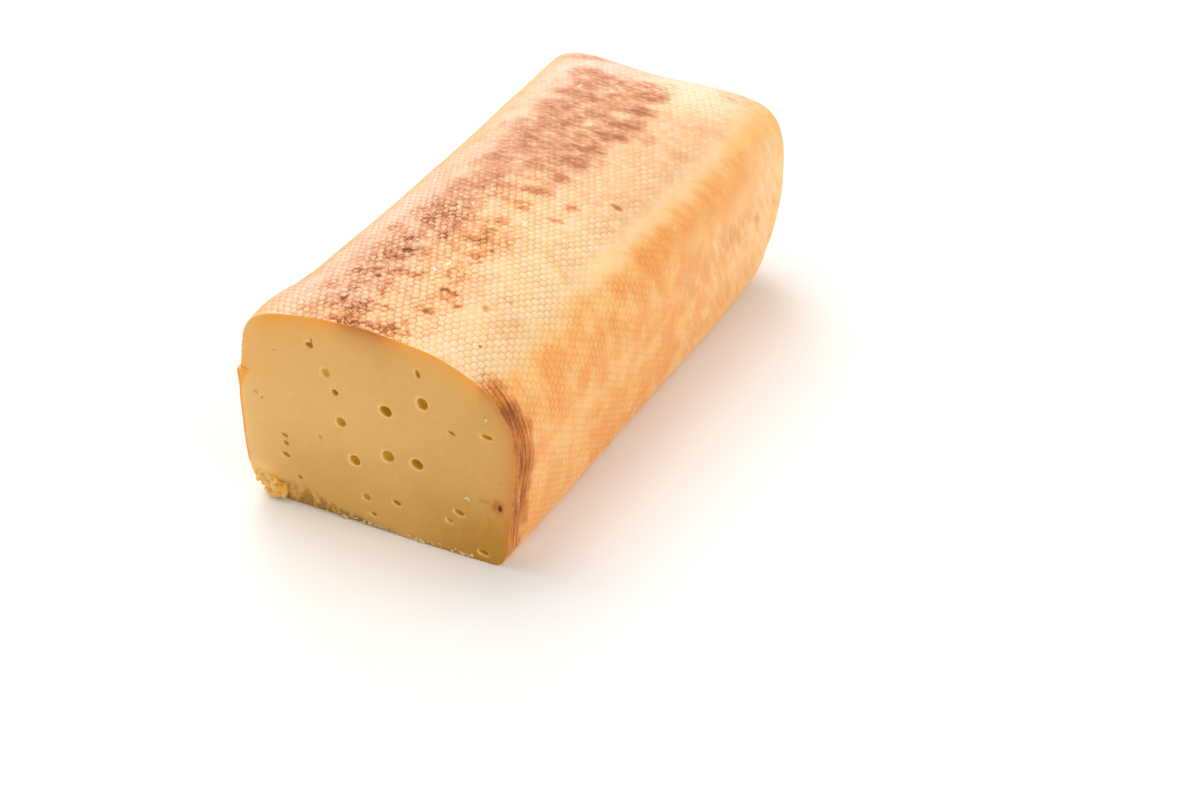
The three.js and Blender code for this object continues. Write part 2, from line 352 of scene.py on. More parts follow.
class NetSizes(bpy.types.PropertyGroup):
    """The marks of the net that the loaf was pressed in."""

    pitch: length_value("Pitch", "From one mesh of the net to the next round the loaf", 0.00349)
    row_step: length_value("Row step", "From one row of meshes to the next along the loaf", 0.00306)
    slant: share_value("Slant", "How far the rows run towards the cut on their way to the right", 0.135)
    slant_turn: share_value("Slant turn", "Share of the way down where the slant turns back", 0.55)
    slant_fading: length_value("Slant fading", "Where the slant begins to run out along the loaf", 0.185)
    slant_end: length_value("Slant end", "Where the slant has run out", 0.253)
    lead: length_value("Lead", "Length of net in front of the cut, sliced off with it", 0.014)
    groove_width: length_value("Groove width", "Half the width of a cord's groove", 0.00036)
    groove_depth: length_value("Groove depth", "Depth of a cord's groove on the crown", 0.00034)
    wander: share_value("Wander", "How far the net's knots stray, as a share of the pitch", 0.08)


class CutSizes(bpy.types.PropertyGroup):
    """The cut face with its torn foot and edges."""

    wave: length_value("Wave", "Height of the waves that the knife left", 0.00024)
    eye_flare: length_value("Eye flare", "Width of the soft rim round an eye", 0.0010)
    tear_height: length_value("Tear height", "Height of the torn foot at the left", 0.0154)
    tear_from: length_value("Tear from", "Where the tear begins to run down", -0.045)
    tear_to: length_value("Tear to", "Where the tear runs out", 0.020)
    tear_depth: length_value("Tear depth", "How far the torn foot lies back", 0.0026)
    fibre: length_value("Fibre", "Height of the fibres that stand up in the tear", 0.0005)
    lip_top: length_value("Lip top", "Height of the top of the flake of rind", 0.064)
    lip_waist: length_value("Lip waist", "Height where the flake has narrowed to a thread", 0.055)
    lip_foot: length_value("Lip foot", "Height where the thread of rind runs out", 0.017)
    lip_width: length_value("Lip width", "Width of the flake at its top", 0.0044)
    lip_thread: length_value("Lip thread", "Width of the thread", 0.0009)
    lip_bulge: length_value("Lip bulge", "How far the flake stands out from the side", 0.0013)
    lip_step: length_value("Lip step", "How far the flake stands out of the cut", 0.0014)
    crumbs: IntProperty(name="Crumbs", description="Crumbs along the foot of the cut", default=70)


class CheeseColours(bpy.types.PropertyGroup):
    """Colours of the rind and the paste."""

    rind: colour_value("Rind", "Clean rind on the crown", (237, 200, 145))
    rind_rosy: colour_value("Rosy rind", "Rind on the left of the crown", (232, 190, 160))
    rind_warm: colour_value("Warm rind", "Rind on the farther half of the crown", (230, 178, 126))
    rind_side: colour_value("Side rind", "Smoked rind on the sides", (255, 194, 112))
    rind_shoulder: colour_value("Shoulder rind", "Pale rind on the shoulder and in streaks", (255, 213, 153))
    rind_deep: colour_value("Deep rind", "Patches of deeper colour on the sides", (242, 152, 68))
    rind_pale: colour_value("Pale rind", "Rind at the edges of the far end", (245, 223, 190))
    smoke: colour_value("Smoke", "Light smoke stain", (220, 141, 70))
    smoke_rosy: colour_value("Rosy smoke", "Light smoke stain on the left", (207, 141, 104))
    smoke_side: colour_value("Side smoke", "Smoke stain on the sides", (204, 120, 40))
    # Partly painted shade: this colour also darkens the right side next to the cut, where the slice shaded
    # it
    smoke_deep_and_shade: colour_value("Deep smoke", "Heavy smoke stain on the sides", (136, 62, 8))
    smoke_dark: colour_value("Dark smoke", "Heavy smoke stain", (156, 79, 34))
    smoke_black: colour_value("Black smoke", "The darkest specks", (90, 38, 16))
    rind_blush: colour_value("Blushing rind", "Pale rind at the far end's left", (239, 201, 180))
    fleck: colour_value("Fleck", "White flecks on the rind", (255, 247, 234))
    groove: colour_value("Groove", "Where the net's cords lay", (206, 135, 72))
    paste: colour_value("Paste", "The cut paste at its palest, on the left", (244, 194, 113))
    # Partly painted shade: the paste also darkens towards this colour near the foot of the cut
    paste_deep_and_shade: colour_value("Deep paste", "Paste at the lower right", (197, 141, 36))
    paste_edge: colour_value("Paste edge", "Paste under the rind", (255, 172, 54))
    paste_brown: colour_value("Brown edge", "Paste under the smoked middle of the crown", (210, 124, 22))
    # Painted light: the glow of light shining through the paste's left edge
    paste_painted_glow: colour_value("Glowing edge", "Paste under the rind on the left", (255, 205, 130))
    # Painted highlight: this pale colour lights the rims of the eyes and the flap in one eye; mottled
    # through the paste it is the paste's own paler tone
    paste_light_and_highlight: colour_value("Light paste", "Bruised paste at the rims of the eyes", (250, 215, 148))
    # Painted shade: the eyes darken towards this colour deeper in, and the lump's painted pits use it
    eye: colour_value("Eye", "Inside the eyes", (230, 182, 46))
    # Partly painted shade: the torn paste's own duller colour, darkened for its hollows and recess, and also
    # used for the painted shadow along the cut's foot
    torn: colour_value("Torn paste", "Hollows of the torn foot", (186, 134, 44))
    fibre: colour_value("Fibres", "Fibres of the torn foot", (230, 187, 97))
    scorch: colour_value("Scorch", "Round the burnt pit on the cut", (198, 112, 24))
    burn: colour_value("Burn", "The burnt pit itself", (112, 44, 12))
    rind_edge: colour_value("Rind edge", "Flake and corner of rind in the cut", (250, 168, 18))
    lump: colour_value("Lump", "Soft paste pushed out at the corner", (238, 176, 66))
    crumb: colour_value("Crumb", "Loose crumbs", (232, 204, 150))


class StageSettings(bpy.types.PropertyGroup):
    """Floor, light and camera."""

    floor: colour_value("Floor", "Plain floor", (250, 249, 247))
    floor_grain: colour_value("Floor grain", "Faint grain of the floor", (231, 231, 231))
    key_power: FloatProperty(name="Key power", description="Soft light from above", default=11.0)
    fill_power: FloatProperty(name="Fill power", description="Soft light from the right", default=6.5)
    rim_power: FloatProperty(name="Rim power", description="Soft light from behind on the left", default=5.0)
    sky: FloatProperty(name="Sky", description="Strength of the even light all round", default=0.5)
    focal_length: FloatProperty(
        name="Focal length", description="Lens on a 36 mm wide picture", default=72.0, unit="CAMERA"
    )


# Shape of the loaf


def smooth_step(value):
    """Eased value between 0 and 1."""
    clipped = np.clip(value, 0, 1)
    return clipped * clipped * (3 - 2 * clipped)


def signed_power(value, power):
    """A power that keeps the value's sign."""
    return np.sign(value) * np.abs(value) ** power


def section_outline(loaf, along):
    """The loaf's outline across its length, from under the middle round by the right side.

    Returns x, z and the share of the way round, at points close together.
    """
    angle = np.linspace(-0.5 * math.pi, 1.5 * math.pi, 2401)
    across = np.cos(angle)
    upward = np.sin(angle)
    shoulder = max(1 - loaf.length * along / loaf.shoulder_reach, 0) ** 3
    cut = np.array(loaf.corners_at_cut)
    end = np.array(loaf.corners_at_end)
    upper_left, upper_right, lower_left, lower_right = cut + (end - cut) * along**3
    upper = np.where(across > 0, upper_right, upper_left + loaf.shoulder_squareness * shoulder)
    lower = np.where(across > 0, lower_right, lower_left)
    power = 2 / np.where(upward > 0, upper, lower)
    top = loaf.height - loaf.belly_height
    rise = np.where(upward > 0, top, loaf.belly_height + loaf.base_sink)
    z = loaf.belly_height + rise * signed_power(upward, power)
    lost = np.where(across > 0, loaf.taper_right, loaf.taper_left)
    taper = 1 - lost * np.clip(1 - z / loaf.belly_height, 0, 1)
    pressed = np.where(across < 0, shoulder, 0) * np.clip((z - loaf.belly_height) / top, 0, 1)
    x = signed_power(across, power) * taper * (1 - loaf.shoulder_lean * pressed)
    z = z - loaf.shoulder_slope * pressed * x**2
    x = x * loaf.width / 2
    way = np.concatenate([[0], np.cumsum(np.hypot(np.diff(x), np.diff(z)))])
    return x, z, way / way[-1]


def perimeter(loaf):
    """Length of the way round the cut face."""
    x, z, _ = section_outline(loaf, 0)
    return np.sum(np.hypot(np.diff(x), np.diff(z)))


def section_table(loaf):
    """Outlines at even steps along the loaf and round it."""
    even = np.linspace(0, 1, 1201)
    table = []
    for along in np.linspace(0, 1, 121):
        x, z, way = section_outline(loaf, along)
        table.append(np.stack([np.interp(even, way, x), np.interp(even, way, z)], axis=-1))
    return np.array(table)


def section_points(table, share, along):
    """Points of the outlines at shares of the way round and along."""
    step = np.clip(along, 0, 1) * (len(table) - 1)
    ring = np.minimum(step.astype(int), len(table) - 2)
    place = (share % 1) * (table.shape[1] - 1)
    left = np.minimum(place.astype(int), table.shape[1] - 2)
    blend = (place - left)[:, None]
    near = table[ring, left] * (1 - blend) + table[ring, left + 1] * blend
    far = table[ring + 1, left] * (1 - blend) + table[ring + 1, left + 1] * blend
    mixed = near + (far - near) * (step - ring)[:, None]
    return mixed[:, 0], mixed[:, 1]


def highness_of(loaf, z):
    """None at the belly and one at the crown."""
    return smooth_step((z - loaf.belly_height) / (loaf.height - loaf.belly_height))


def end_rounding(loaf, x, z):
    """Depth of the far end's rounding behind each point of the section."""
    lowness = smooth_step(1 - z / loaf.belly_height)
    leftness = smooth_step(-2 * x / loaf.width)
    depth = loaf.crown_rounding + (loaf.heel_rounding - loaf.crown_rounding) * lowness
    return depth * (1 - loaf.corner_pull * highness_of(loaf, z) * leftness)


def droop_of(loaf, x, z, y):
    """How much lower the crown hangs towards the right of the far end."""
    rightness = smooth_step((x - loaf.droop_from) / (loaf.droop_full - loaf.droop_from))
    return loaf.end_droop * highness_of(loaf, z) * rightness * (y / loaf.length) ** 3


def knife_press(loaf, x, z, y):
    """How far the edge of the crown is pressed down near the cut."""
    begun = smooth_step((x - loaf.press_from) / (loaf.press_full - loaf.press_from))
    across = begun * smooth_step((loaf.press_to - x) / (loaf.press_to - loaf.press_fading))
    high = smooth_step((z - loaf.belly_height) / (0.5 * (loaf.height - loaf.belly_height)))
    return loaf.press_depth * across * high * np.clip(1 - y / loaf.press_reach, 0, 1) ** 2


def place_on_loaf(loaf, x, z, along, reach, shrink):
    """Points of the loaf's skin from points of its section."""
    rounding = end_rounding(loaf, x, z)
    y = (loaf.length - rounding) * along + rounding * reach
    swell = 1 + loaf.swell * np.sin(2 * math.pi * y / loaf.swell_length)
    flare = 1 + loaf.end_flare * (y / loaf.length) ** 2
    across = x * shrink * swell * flare + loaf.end_drift * y / loaf.length
    fallen = z - droop_of(loaf, x, z, y) - knife_press(loaf, x, z, y)
    height = loaf.belly_height + (fallen - loaf.belly_height) * shrink * swell
    return np.stack([across, y, np.maximum(height, 0)], axis=-1)


def move_to_frame(loaf):
    """The way from the foot of the cut to the frame's origin."""
    x, z, _ = section_outline(loaf, 1)
    far = place_on_loaf(loaf, x, z, 1, 0, 1)
    return Vector((LOAF_HIGH.x - far[:, 0].max(), LOAF_HIGH.y - loaf.length, LOAF_LOW.z))


def way_from_crown(loaf, points):
    """Millimetres round the section from the crown to each point, positive to the right."""
    x, z, way = section_outline(loaf, 0.3)
    turn = np.arctan2(x, z - loaf.belly_height)
    order = np.argsort(turn)
    steps = (way[np.argmin(np.abs(x) - z)] - way) * perimeter(loaf)
    drift = loaf.end_drift * points[:, 1] / loaf.length
    point_turn = np.arctan2(points[:, 0] - drift, points[:, 2] - loaf.belly_height)
    return np.interp(point_turn, turn[order], steps[order]) / MM


# Mesh helpers


def read_points(mesh):
    """All vertex places as rows."""
    points = np.empty(len(mesh.vertices) * 3)
    mesh.vertices.foreach_get("co", points)
    return points.reshape(-1, 3)


def write_points(mesh, points):
    """Puts vertices at the given places."""
    mesh.vertices.foreach_set("co", points.ravel())
    mesh.update()


def read_normals(mesh):
    """All vertex normals as rows."""
    normals = np.empty(len(mesh.vertices) * 3)
    mesh.vertex_normals.foreach_get("vector", normals)
    return normals.reshape(-1, 3)


def soft_noise(points, size, seed):
    """Smooth noise between about -1 and 1, with features of the given size."""
    shift = Vector((seed * 13.1, seed * 7.7, seed * 3.3))
    return np.array([noise.noise(Vector(point) / size + shift) for point in points])


def select_only(*objects):
    """Selects these objects, the first of them active."""
    bpy.ops.object.select_all(action="DESELECT")
    for item in objects:
        item.select_set(True)
    bpy.context.view_layer.objects.active = objects[0]


def edit(action, kind):
    """Opens edit mode with everything or nothing selected."""
    bpy.ops.object.mode_set(mode="EDIT")
    bpy.ops.mesh.select_mode(type=kind)
    bpy.ops.mesh.select_all(action=action)


def leave_edit():
    """Back to object mode."""
    bpy.ops.object.mode_set(mode="OBJECT")


def edit_faces(mesh, chosen):
    """Opens edit mode with only the chosen faces selected."""
    edit("DESELECT", "FACE")
    leave_edit()
    mesh.polygons.foreach_set("select", chosen)
    bpy.ops.object.mode_set(mode="EDIT")


def face_outward(piece):
    """Turns all faces of a closed piece outward."""
    select_only(piece)
    edit("SELECT", "FACE")
    bpy.ops.mesh.normals_make_consistent(inside=False)
    leave_edit()


def mesh_piece(name, points, faces, *materials):
    """A new object from points and faces."""
    mesh = bpy.data.meshes.new(name)
    mesh.from_pydata(np.asarray(points).tolist(), [], faces)
    for material in materials:
        mesh.materials.append(material)
    piece = bpy.data.objects.new(name, mesh)
    bpy.context.scene.collection.objects.link(piece)
    return piece


def thicken(piece, forward):
    """Closes an open sheet into a block that reaches to the given y."""
    select_only(piece)
    edit("SELECT", "FACE")
    bpy.ops.mesh.extrude_region_move()
    leave_edit()
    moved = np.array([vertex.select for vertex in piece.data.vertices])
    points = read_points(piece.data)
    points[moved, 1] = forward
    write_points(piece.data, points)
    face_outward(piece)


def combine(piece, other, operation):
    """Joins another closed piece to this one or cuts it away, and removes the other."""
    select_only(piece)
    modifier = piece.modifiers.new(operation.lower(), "BOOLEAN")
    modifier.operation = operation
    modifier.object = other
    modifier.solver = "MANIFOLD"
    modifier.material_mode = "TRANSFER"
    bpy.ops.object.modifier_apply(modifier=modifier.name)
    if len(piece.data.polygons) == 0:
        raise RuntimeError(f"nothing is left of {piece.name} after {operation}")
    bpy.data.objects.remove(other)


def set_attribute(mesh, name, domain, values):
    """Stores one number for each point or face."""
    layer = mesh.attributes.get(name) or mesh.attributes.new(name, "FLOAT", domain)
    layer.data.foreach_set("value", np.asarray(values, dtype=np.float32))


# The net-marked skin


def rounding_turns(loaf, net, shrink_to):
    """Even steps over the far end's rounding, as far as its flatter middle."""
    turn = np.linspace(0, math.acos(shrink_to ** (loaf.end_squareness / 2)), 400)
    shrink = np.cos(turn) ** (2 / loaf.end_squareness) * loaf.height / 2
    reach = np.sin(turn) ** (2 / loaf.end_squareness) * (loaf.crown_rounding + loaf.heel_rounding) / 2
    way = np.concatenate([[0], np.cumsum(np.hypot(np.diff(shrink), np.diff(reach)))])
    steps = round(way[-1] / net.row_step)
    return np.interp(np.linspace(0, way[-1], steps + 1)[1:], way, turn)


def net_slant(loaf, net, share, y):
    """How far knots of one row lie towards the cut, which evens out under the base and at the far end."""
    around = (0.5 - share % 1) * perimeter(loaf)
    half = 0.5 * perimeter(loaf)
    turn_back = net.slant_turn * half
    off = np.minimum(np.abs(around), turn_back * (half - np.abs(around)) / (half - turn_back))
    gone = smooth_step((y - net.slant_fading) / (net.slant_end - net.slant_fading))
    return net.slant * np.sign(around) * off * (1 - gone)


def skin_grid(loaf, net, turns):
    """Net knots over the sides and the rounding, as a grid wrapped round the loaf."""
    columns = round(perimeter(loaf) / net.pitch)
    body = loaf.length - loaf.crown_rounding
    body_rows = round((body + net.lead) / net.row_step)
    rows = body_rows + len(turns)
    bpy.ops.mesh.primitive_grid_add(x_subdivisions=columns, y_subdivisions=rows, size=1)
    skin = bpy.context.object
    flat = read_points(skin.data)
    column = np.rint((flat[:, 0] + 0.5) * columns).astype(int)
    row = np.rint((flat[:, 1] + 0.5) * rows).astype(int)
    stray = np.random.default_rng(7).uniform(-1, 1, (rows + 1, columns, 2)) * net.wander
    stray[0] = 0
    stray[body_rows:] = 0
    stray = stray[row, column % columns]
    share = (column + 0.5 * (row % 2) + stray[:, 0]) / columns
    y = np.minimum(row / body_rows, 1) * (body + net.lead) - net.lead
    y = y - net_slant(loaf, net, share, y) + stray[:, 1] * net.pitch
    turn = np.concatenate([np.zeros(body_rows + 1), turns])[row]
    shrink = np.cos(turn) ** (2 / loaf.end_squareness)
    reach = np.sin(turn) ** (2 / loaf.end_squareness)
    x, z = section_points(section_table(loaf), share, y / body)
    write_points(skin.data, place_on_loaf(loaf, x, z, y / body, reach, shrink))
    return skin, columns


def turn_of(flat):
    """Angle of each flat place seen from the middle."""
    return np.arctan2(flat[:, 1], flat[:, 0])


def by_turn(turn, flat, values):
    """Values given at places round the middle, read at other angles."""
    return np.interp(turn, turn_of(flat), values, period=2 * math.pi)


def end_patch(loaf, net, ring):
    """Net knots over the middle of the far end, inside the last row of the skin."""
    x, z, _ = section_outline(loaf, 1)
    middle = np.array([loaf.end_drift, loaf.belly_height])
    fallen = z - droop_of(loaf, x, z, 0.97 * loaf.length)
    outline = np.stack([x * (1 + loaf.end_flare), fallen - loaf.belly_height], axis=-1)
    knots = []
    for row in range(-20, 21):
        for step in range(-24, 25):
            knots.append(((step + 0.5 * (row % 2)) * net.pitch, row * net.row_step))
    knots = np.array(knots)
    rim = ring[:, [0, 2]] - middle
    gap = np.hypot(knots[:, None, 0] - rim[None, :, 0], knots[:, None, 1] - rim[None, :, 1]).min(axis=1)
    limit = by_turn(turn_of(knots), rim, np.hypot(rim[:, 0], rim[:, 1]))
    knots = knots[(np.hypot(knots[:, 0], knots[:, 1]) < limit) & (gap > 0.62 * net.pitch)]
    turn = turn_of(knots)
    full = by_turn(turn, outline, np.hypot(outline[:, 0], outline[:, 1]))
    share = np.hypot(knots[:, 0], knots[:, 1]) / full
    reach = np.clip(1 - share**loaf.end_squareness, 0, 1) ** (1 / loaf.end_squareness)
    y = loaf.length - by_turn(turn, outline, end_rounding(loaf, x, z)) * (1 - reach)
    flat = [Vector(point) for point in np.concatenate([rim, knots])]
    triangles = delaunay_2d_cdt(flat, [], [list(range(len(rim)))], 1, 1e-7)[2]
    knots = knots + middle
    points = np.concatenate([ring, np.stack([knots[:, 0], y, knots[:, 1]], axis=-1)])
    return mesh_piece("far end", points, [list(triangle) for triangle in triangles])


def cells_from_knots(piece):
    """Turns the triangles between knots into six-sided cells round them."""
    tree = bpy.data.node_groups.new("net cells", "GeometryNodeTree")
    tree.interface.new_socket("Geometry", in_out="INPUT", socket_type="NodeSocketGeometry")
    tree.interface.new_socket("Geometry", in_out="OUTPUT", socket_type="NodeSocketGeometry")
    source = tree.nodes.new("NodeGroupInput")
    target = tree.nodes.new("NodeGroupOutput")
    dual = tree.nodes.new("GeometryNodeDualMesh")
    dual.inputs["Keep Boundaries"].default_value = True
    tree.links.new(source.outputs[0], dual.inputs[0])
    tree.links.new(dual.outputs[0], target.inputs[0])
    select_only(piece)
    modifier = piece.modifiers.new("net cells", "NODES")
    modifier.node_group = tree
    bpy.ops.object.modifier_apply(modifier=modifier.name)


def net_strength(loaf, points):
    """How deep the net lies: full on the crown near the cut, fainter on the sides and the far end."""
    around = way_from_crown(loaf, points)
    along = points[:, 1] / MM
    side = smooth_step((np.abs(around) - 48) / 24)
    end = smooth_step((along - 90) / 130)
    uneven = np.clip(0.85 + 0.7 * soft_noise(points, 0.013, 4), 0.3, 1.3)
    shoulder = 0.8 * np.exp(-(((around - 53) / 6) ** 2)) * smooth_step((along - 50) / 60)
    far_side = 0.75 * smooth_step((np.abs(around) - 56) / 10) * smooth_step((along - 120) / 90)
    return (1 - 0.3 * side) * (1 - 0.6 * end) * (1 - shoulder) * (1 - far_side) * uneven


def side_crease(loaf, points):
    """The fold down the right side near the far end: one at its bottom and below none beside it."""
    right = smooth_step((points[:, 0] - 0.045) / 0.02) * smooth_step((points[:, 2] - 0.012) / 0.02)
    bow = 0.09 * (0.055 - points[:, 2]) ** 2 / 0.05
    off = points[:, 1] - (loaf.crease_along + bow)
    swelling = 0.55 * np.exp(-(((off - 0.008) / 0.006) ** 2))
    return right * (np.exp(-((off / 0.0022) ** 2)) - swelling)


def skin_relief(loaf, net, skin, grooved):
    """Sinks the cords' grooves and gives the skin its soft dents and its fold."""
    points = read_points(skin.data)
    normals = read_normals(skin.data)
    lifted = smooth_step((points[:, 2] - 0.001) / 0.006)
    uneven = 0.7 * soft_noise(points, 0.030, 1) + 0.3 * soft_noise(points, 0.011, 2)
    out = loaf.unevenness * uneven * lifted - loaf.crease_depth * side_crease(loaf, points)
    out -= net.groove_depth * grooved * net_strength(loaf, points) * (0.3 + 0.7 * lifted)
    moved = points + normals * out[:, None]
    moved[:, 2] = np.maximum(moved[:, 2], 0)
    write_points(skin.data, moved)


def knotted_skin(loaf, net):
    """The skin as triangles between the net's knots, still open in front of the cut."""
    skin, columns = skin_grid(loaf, net, rounding_turns(loaf, net, 0.9))
    last_row = read_points(skin.data)[-(columns + 1) : -1]
    select_only(skin, end_patch(loaf, net, last_row))
    bpy.ops.object.join()
    edit("SELECT", "FACE")
    bpy.ops.mesh.remove_doubles(threshold=0.00001)
    bpy.ops.mesh.quads_convert_to_tris(quad_method="SHORTEST_DIAGONAL")
    bpy.ops.mesh.normals_make_consistent(inside=False)
    leave_edit()
    return skin


def part_cells(net, mesh):
    """Insets each cell above the base, which leaves room for the cords, and marks where they lay."""
    corners = len(mesh.vertices)
    heights = read_points(mesh)[:, 2]
    flat = np.array([max(heights[list(cell.vertices)]) < 1e-6 for cell in mesh.polygons])
    edit_faces(mesh, flat)
    bpy.ops.mesh.poke()
    leave_edit()
    edit_faces(mesh, np.array([len(cell.vertices) > 3 for cell in mesh.polygons]))
    bpy.ops.mesh.inset(thickness=net.groove_width, depth=0, use_individual=True)
    leave_edit()
    grooved = np.arange(len(mesh.vertices)) < corners
    set_attribute(mesh, "groove", "POINT", grooved)
    return grooved


def close_front(skin):
    """Closes the skin in front of the cut."""
    edit("DESELECT", "EDGE")
    bpy.ops.mesh.select_non_manifold(extend=False, use_wire=False, use_multi_face=False, use_verts=False)
    bpy.ops.mesh.edge_face_add()
    leave_edit()
    face_outward(skin)


def net_skin(loaf, net):
    """The loaf's skin with a raised cell in each mesh of the net, still longer than the loaf."""
    skin = knotted_skin(loaf, net)
    cells_from_knots(skin)
    mesh = skin.data
    set_attribute(mesh, "cell", "FACE", np.random.default_rng(3).uniform(0, 1, len(mesh.polygons)))
    skin_relief(loaf, net, skin, part_cells(net, mesh))
    close_front(skin)
    return skin


# The cut face


def face_wave(cut, x, z):
    """Height of the waves that the knife left on the face."""
    streaks = np.stack([x, 0 * x, 0.4 * z], axis=-1)
    spread = np.stack([x, 0 * x, z], axis=-1)
    return cut.wave * (soft_noise(streaks, 0.015, 5) + 0.45 * soft_noise(spread, 0.005, 6))


def flat_block(columns, rows, material):
    """A flat grid with a material, and each point's share of the way across and up."""
    bpy.ops.mesh.primitive_grid_add(x_subdivisions=columns, y_subdivisions=rows, size=1)
    block = bpy.context.object
    block.data.materials.append(material)
    shares = read_points(block.data) + 0.5
    return block, shares[:, 0], shares[:, 1]


def knife_block(loaf, cut, materials):
    """What the knife took off: a block whose back is the cut face with its faint waves."""
    block, rightward, up = flat_block(96, 73, materials["paste"])
    spread = 1.16
    below = 0.006
    above = 0.008
    x = (rightward - 0.5) * spread * loaf.width
    z = up * (loaf.height + below + above) - below
    write_points(block.data, np.stack([x, face_wave(cut, x, z), z], axis=-1))
    thicken(block, -0.04)
    return block


def edge_distance(loaf, points):
    """Distance in the cut's plane from each point to the rind."""
    x, z = section_table(loaf)[0].T
    rim = place_on_loaf(loaf, x, z, 0, 0, 1)[:, [0, 2]]
    flat = points[:, [0, 2]]
    nearest = np.full(len(flat), 1.0)
    for start in range(0, len(rim), 50):
        gap = flat[:, None, :] - rim[None, start : start + 50, :]
        nearest = np.minimum(nearest, np.hypot(gap[..., 0], gap[..., 1]).min(axis=1))
    return nearest


def eye_bowl(cut, eye, seed):
    """Points of one eye, a little uneven: rings from before the cut to its bottom, then both middles."""
    across, height, width, tall, depth, turn = eye
    angle = np.linspace(0, 2 * math.pi, EYE_SIDES, endpoint=False)
    curve = np.radians(EYE_CURVE)
    radius = 0.5 * width * MM
    flare = min(cut.eye_flare, 0.35 * radius)
    sink = 0.35 * flare
    deep = max(depth * width * MM, 1.5 * sink)
    radii = np.concatenate([[radius + 1.6 * flare, radius + 1.5 * flare], radius * np.cos(curve) ** 0.8])
    depths = np.concatenate([[-EYE_FRONT, -0.5 * sink], sink + (deep - sink) * np.sin(curve)])
    ring = radii[:, None] * np.ones(EYE_SIDES)
    bowl = np.stack([ring * np.cos(angle), depths[:, None] + 0 * ring, ring * np.sin(angle)], axis=-1)
    bowl = bowl.reshape(-1, 3)
    uneven = 1 + 0.09 * soft_noise(bowl / radius * np.array([1, 0.3, 1]), 1.3, 60 + seed)
    bowl = bowl * np.stack([uneven, 1 + 0 * uneven, uneven], axis=-1)
    bowl[:, 2] *= tall / width
    bowl = np.concatenate([bowl, [[0, -EYE_FRONT, 0], [0, deep, 0]]])
    slope = math.radians(turn)
    turned = bowl.copy()
    turned[:, 0] = bowl[:, 0] * math.cos(slope) - bowl[:, 2] * math.sin(slope)
    turned[:, 2] = bowl[:, 0] * math.sin(slope) + bowl[:, 2] * math.cos(slope)
    turned += np.array([across * MM, 0, height * MM])
    turned[:, 1] += face_wave(cut, turned[:, 0], turned[:, 2])
    return turned


def eye_faces(base, rings):
    """Faces of one eye whose points begin at base, and which of them are its soft rim."""
    faces = []
    rims = []
    front = base + rings * EYE_SIDES
    for side in range(EYE_SIDES):
        after = (side + 1) % EYE_SIDES
        faces.append([front, base + side, base + after])
        rims.append(1)
        for step in range(rings - 1):
            start = base + step * EYE_SIDES
            further = start + EYE_SIDES
            faces.append([start + side, further + side, further + after, start + after])
            rims.append(1 if step < 2 else 0)
        start = base + (rings - 1) * EYE_SIDES
        faces.append([start + side, front + 1, start + after])
        rims.append(0)
    return faces, rims


def eye_cutter(cut, eyes, inside, edge):
    """Eyes as one cutter of bowls with a soft rim."""
    points = []
    faces = []
    rims = []
    for seed, eye in enumerate(eyes):
        bowl = eye_bowl(cut, eye, seed)
        eye_sides, eye_rims = eye_faces(len(points), len(bowl) // EYE_SIDES)
        points.extend(bowl)
        faces.extend(eye_sides)
        rims.extend(eye_rims)
    cutter = mesh_piece("eyes", points, faces, inside, edge)
    cutter.data.polygons.foreach_set("material_index", rims)
    face_outward(cutter)
    return cutter


def tear_cutter(loaf, cut, materials):
    """What broke away at the foot of the cut: a block whose back is fibrous and slopes in."""
    left = -loaf.width / 2 - 0.006
    below = 0.002
    block, rightward, up = flat_block(200, 28, materials["torn"])
    x = left + rightward * (cut.tear_to - left)
    fade = np.clip((cut.tear_to - x) / (cut.tear_to - cut.tear_from), 0, 1)
    columns = np.stack([x, 0 * x, 0 * x], axis=-1)
    ragged = 0.0004 * soft_noise(columns, 0.0028, 11) + 0.0009 * soft_noise(columns, 0.011, 12)
    top = (cut.tear_height + 0.0008 + ragged) * fade
    z = (top + below) * up - below
    strands = np.stack([x, 0 * x, 0.3 * z], axis=-1)
    ridge = soft_noise(strands, 0.0030, 13) + 0.5 * soft_noise(strands, 0.0013, 14)
    rough = soft_noise(np.stack([x, 0 * x, z], axis=-1), 0.0015, 15)
    down = 1 - up
    corner = 0.4 + 0.6 * smooth_step((x + 0.064) / 0.014)
    back = cut.tear_depth * np.sqrt(fade) * corner * smooth_step(1.1 * down)
    back -= cut.fibre * np.sqrt(fade) * (ridge + 0.4 * rough) * smooth_step(2 * down)
    write_points(block.data, np.stack([x, back, z], axis=-1))
    set_attribute(block.data, "ridge", "POINT", np.clip(0.35 + 0.7 * ridge + 0.3 * rough, 0, 1))
    thicken(block, -0.008)
    return block


def tube_faces(rings, sides):
    """Faces of a closed tube whose points run ring by ring."""
    faces = [list(range(sides)), [sides * (rings - 1) + corner for corner in reversed(range(sides))]]
    for ring in range(rings - 1):
        low = ring * sides
        for corner in range(sides):
            after = (corner + 1) % sides
            faces.append([low + corner, low + after, low + sides + after, low + sides + corner])
    return faces


